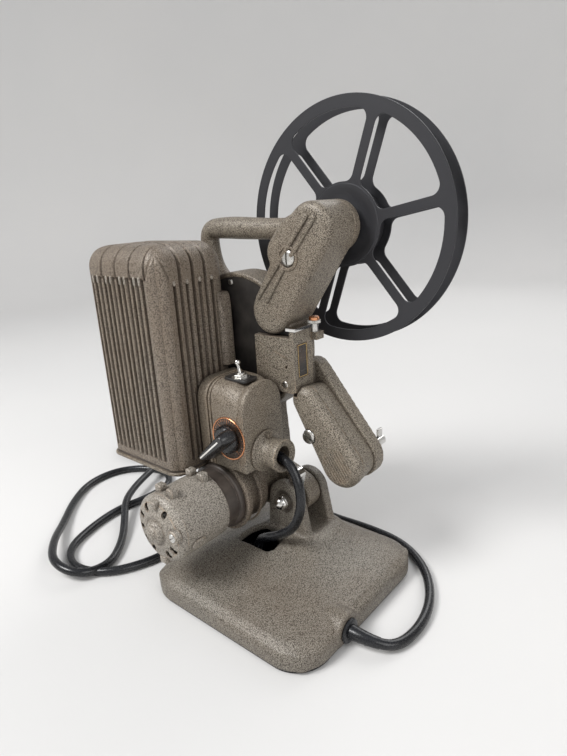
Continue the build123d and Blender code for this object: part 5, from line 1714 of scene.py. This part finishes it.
@dataclass
class Head:
    """Main casting with its covers, plates, bare label, shaft works and framing knob."""

    label_low: Flat = (21.4, 172.4)
    label_high: Flat = (33.6, 199.6)
    framer: Flat = (8.4, 43.0)
    knurl_points: int = 72

    def label(self) -> None:
        """Bare dark plate in the front recess inside a thin raised border."""
        plate = rounded(self.label_low, self.label_high, (0.6,) * 4, 3, 1)
        dress(Shape().push(Way.X, plate, [(0, 7.35), (0, 7.6)]).raw("bare_label_plate"), DIAL_BLACK, "head")
        rings = [[(x, u, v) for u, v in inset(plate, by)]
                 for by, x in ((0.7, 7.5), (0.7, 7.8), (1.2, 7.8), (1.2, 7.5))]
        dress(Shape().loop(rings).raw("label_border"), BRASS, "head")

    def framing_knob(self) -> None:
        """Small knurled knob with a copper crown."""
        at, count = self.framer, self.knurl_points
        body = Shape().turn(Way.Z, at, [(3.5, 200.2), (3.5, 212.8), (0, 212.8)], 32)
        knurl = []
        for i in range(count):
            reach = 5.2 if i % 2 else 4.85
            turn = 2 * math.pi * i / count
            knurl.append((at[0] + reach * math.cos(turn), at[1] + reach * math.sin(turn)))
        body.push(Way.Z, knurl, [(0.4, 212.6), (0, 213.0), (0, 214.9), (0.4, 215.2)])
        dress(body.raw("framer_rim"), STEEL, "framer", ("framing_knob",))
        dome = [(4.2, 215.0), (4.2, 217.2), (3.6, 217.9), (1.5, 218.0), (0, 217.8)]
        crown = Shape().turn(Way.Z, at, dome, 40)
        dress(crown.raw("framer_crown"), COPPER, "framer")

    def build(self) -> None:
        """Makes the head's own parts."""
        cast_node("main_casting", "head_casting", HAMMER, 0.95, 4)
        self.label()
        self.framing_knob()
        for node in ("side_plate", "front_plate", "mirror_box"):
            dress_node(node, HAMMER, 0.6)
        for node in ("main_shaft", "shutter_disc", "main_pulley"):
            dress_node(node, STEEL if node == "main_shaft" else BLACK, 0.2)
        # The black housing cover stands partly for black paint and partly for painted shade in the deep
        # recess between lamp house and arm.
        dress_node("housing_cover", BLACK, 0.4)
        dress_node("gate_cap", CHROME, 0.5)


@dataclass
class Reel:
    """Two stamped flanges on a hub, with the pressed cup round the spindle."""

    cup_faces: tuple[Flat, Flat] = ((63.0, -1.0), (81.0, 1.0))
    bead_faces: Flat = (63.6, 80.4)
    rim_r: float = 88.9
    bead_r: float = 0.75

    def cups(self) -> None:
        """Pressed cups in the middle of both flanges."""
        shape = Shape()
        for face, out in self.cup_faces:
            profile = [(30.0, 0.0), (29.4, 0.5), (26.0, 0.6), (24.5, 0.15), (13.0, 0.15), (12.0, 0.7),
                       (8.0, 0.8), (7.4, 0.2), (4.3, 0.15), (4.3, -0.3), (30.0, -0.3)]
            shape.hollow_turn(Way.Y, FEED_AXIS, [(r, face + rise * out) for r, rise in profile], 80)
        dress(shape.raw("hub_cups"), REEL_BLACK, "feed_reel")

    def rims(self) -> None:
        """Rolled beads at the flanges' rims."""
        shape, bead = Shape(), self.bead_r
        for face in self.bead_faces:
            profile = [(self.rim_r - bead + bead * math.cos(math.radians(60 * i)),
                        face + bead * math.sin(math.radians(60 * i))) for i in range(6)]
            shape.hollow_turn(Way.Y, FEED_AXIS, profile, 160)
        dress(shape.raw("rim_beads"), REEL_BLACK, "feed_reel")

    def build(self) -> None:
        """Makes the reel and the spindles."""
        self.cups()
        self.rims()
        dress_node("reel_flanges", REEL_BLACK, 0.25)
        dress_node("reel_hub", REEL_BLACK, 0.3)
        for node in ("feed_spindle", "takeup_spindle", "takeup_latch"):
            dress_node(node, CHROME, 0.3)


def dress_the_rest() -> None:
    """Gives every frame node that still shows bare its slot's finish."""
    for row in frame["record"]["subparts"]:
        thing = frame["nodes"][row["node"]]
        if thing.hide_render or thing.modifiers.get("weld"):
            continue
        dress_node(row["node"], SLOT_FINISH[row["material_slot"]], 0.25)
        LOG.info("%s keeps its own mesh", row["node"])


def main() -> None:
    """Builds the studio, the cords and every sub-assembly in order."""
    logging.basicConfig(level=logging.INFO, format="%(name)s: %(message)s")
    for part in (Studio(), MainsLead(), InnerLead(), Base(), Head(), LampHouse(), Motor(), ControlBox(),
                 Arms(), Reel()):
        part.build()
    dress_the_rest()


if __name__ == "__main__":
    main()
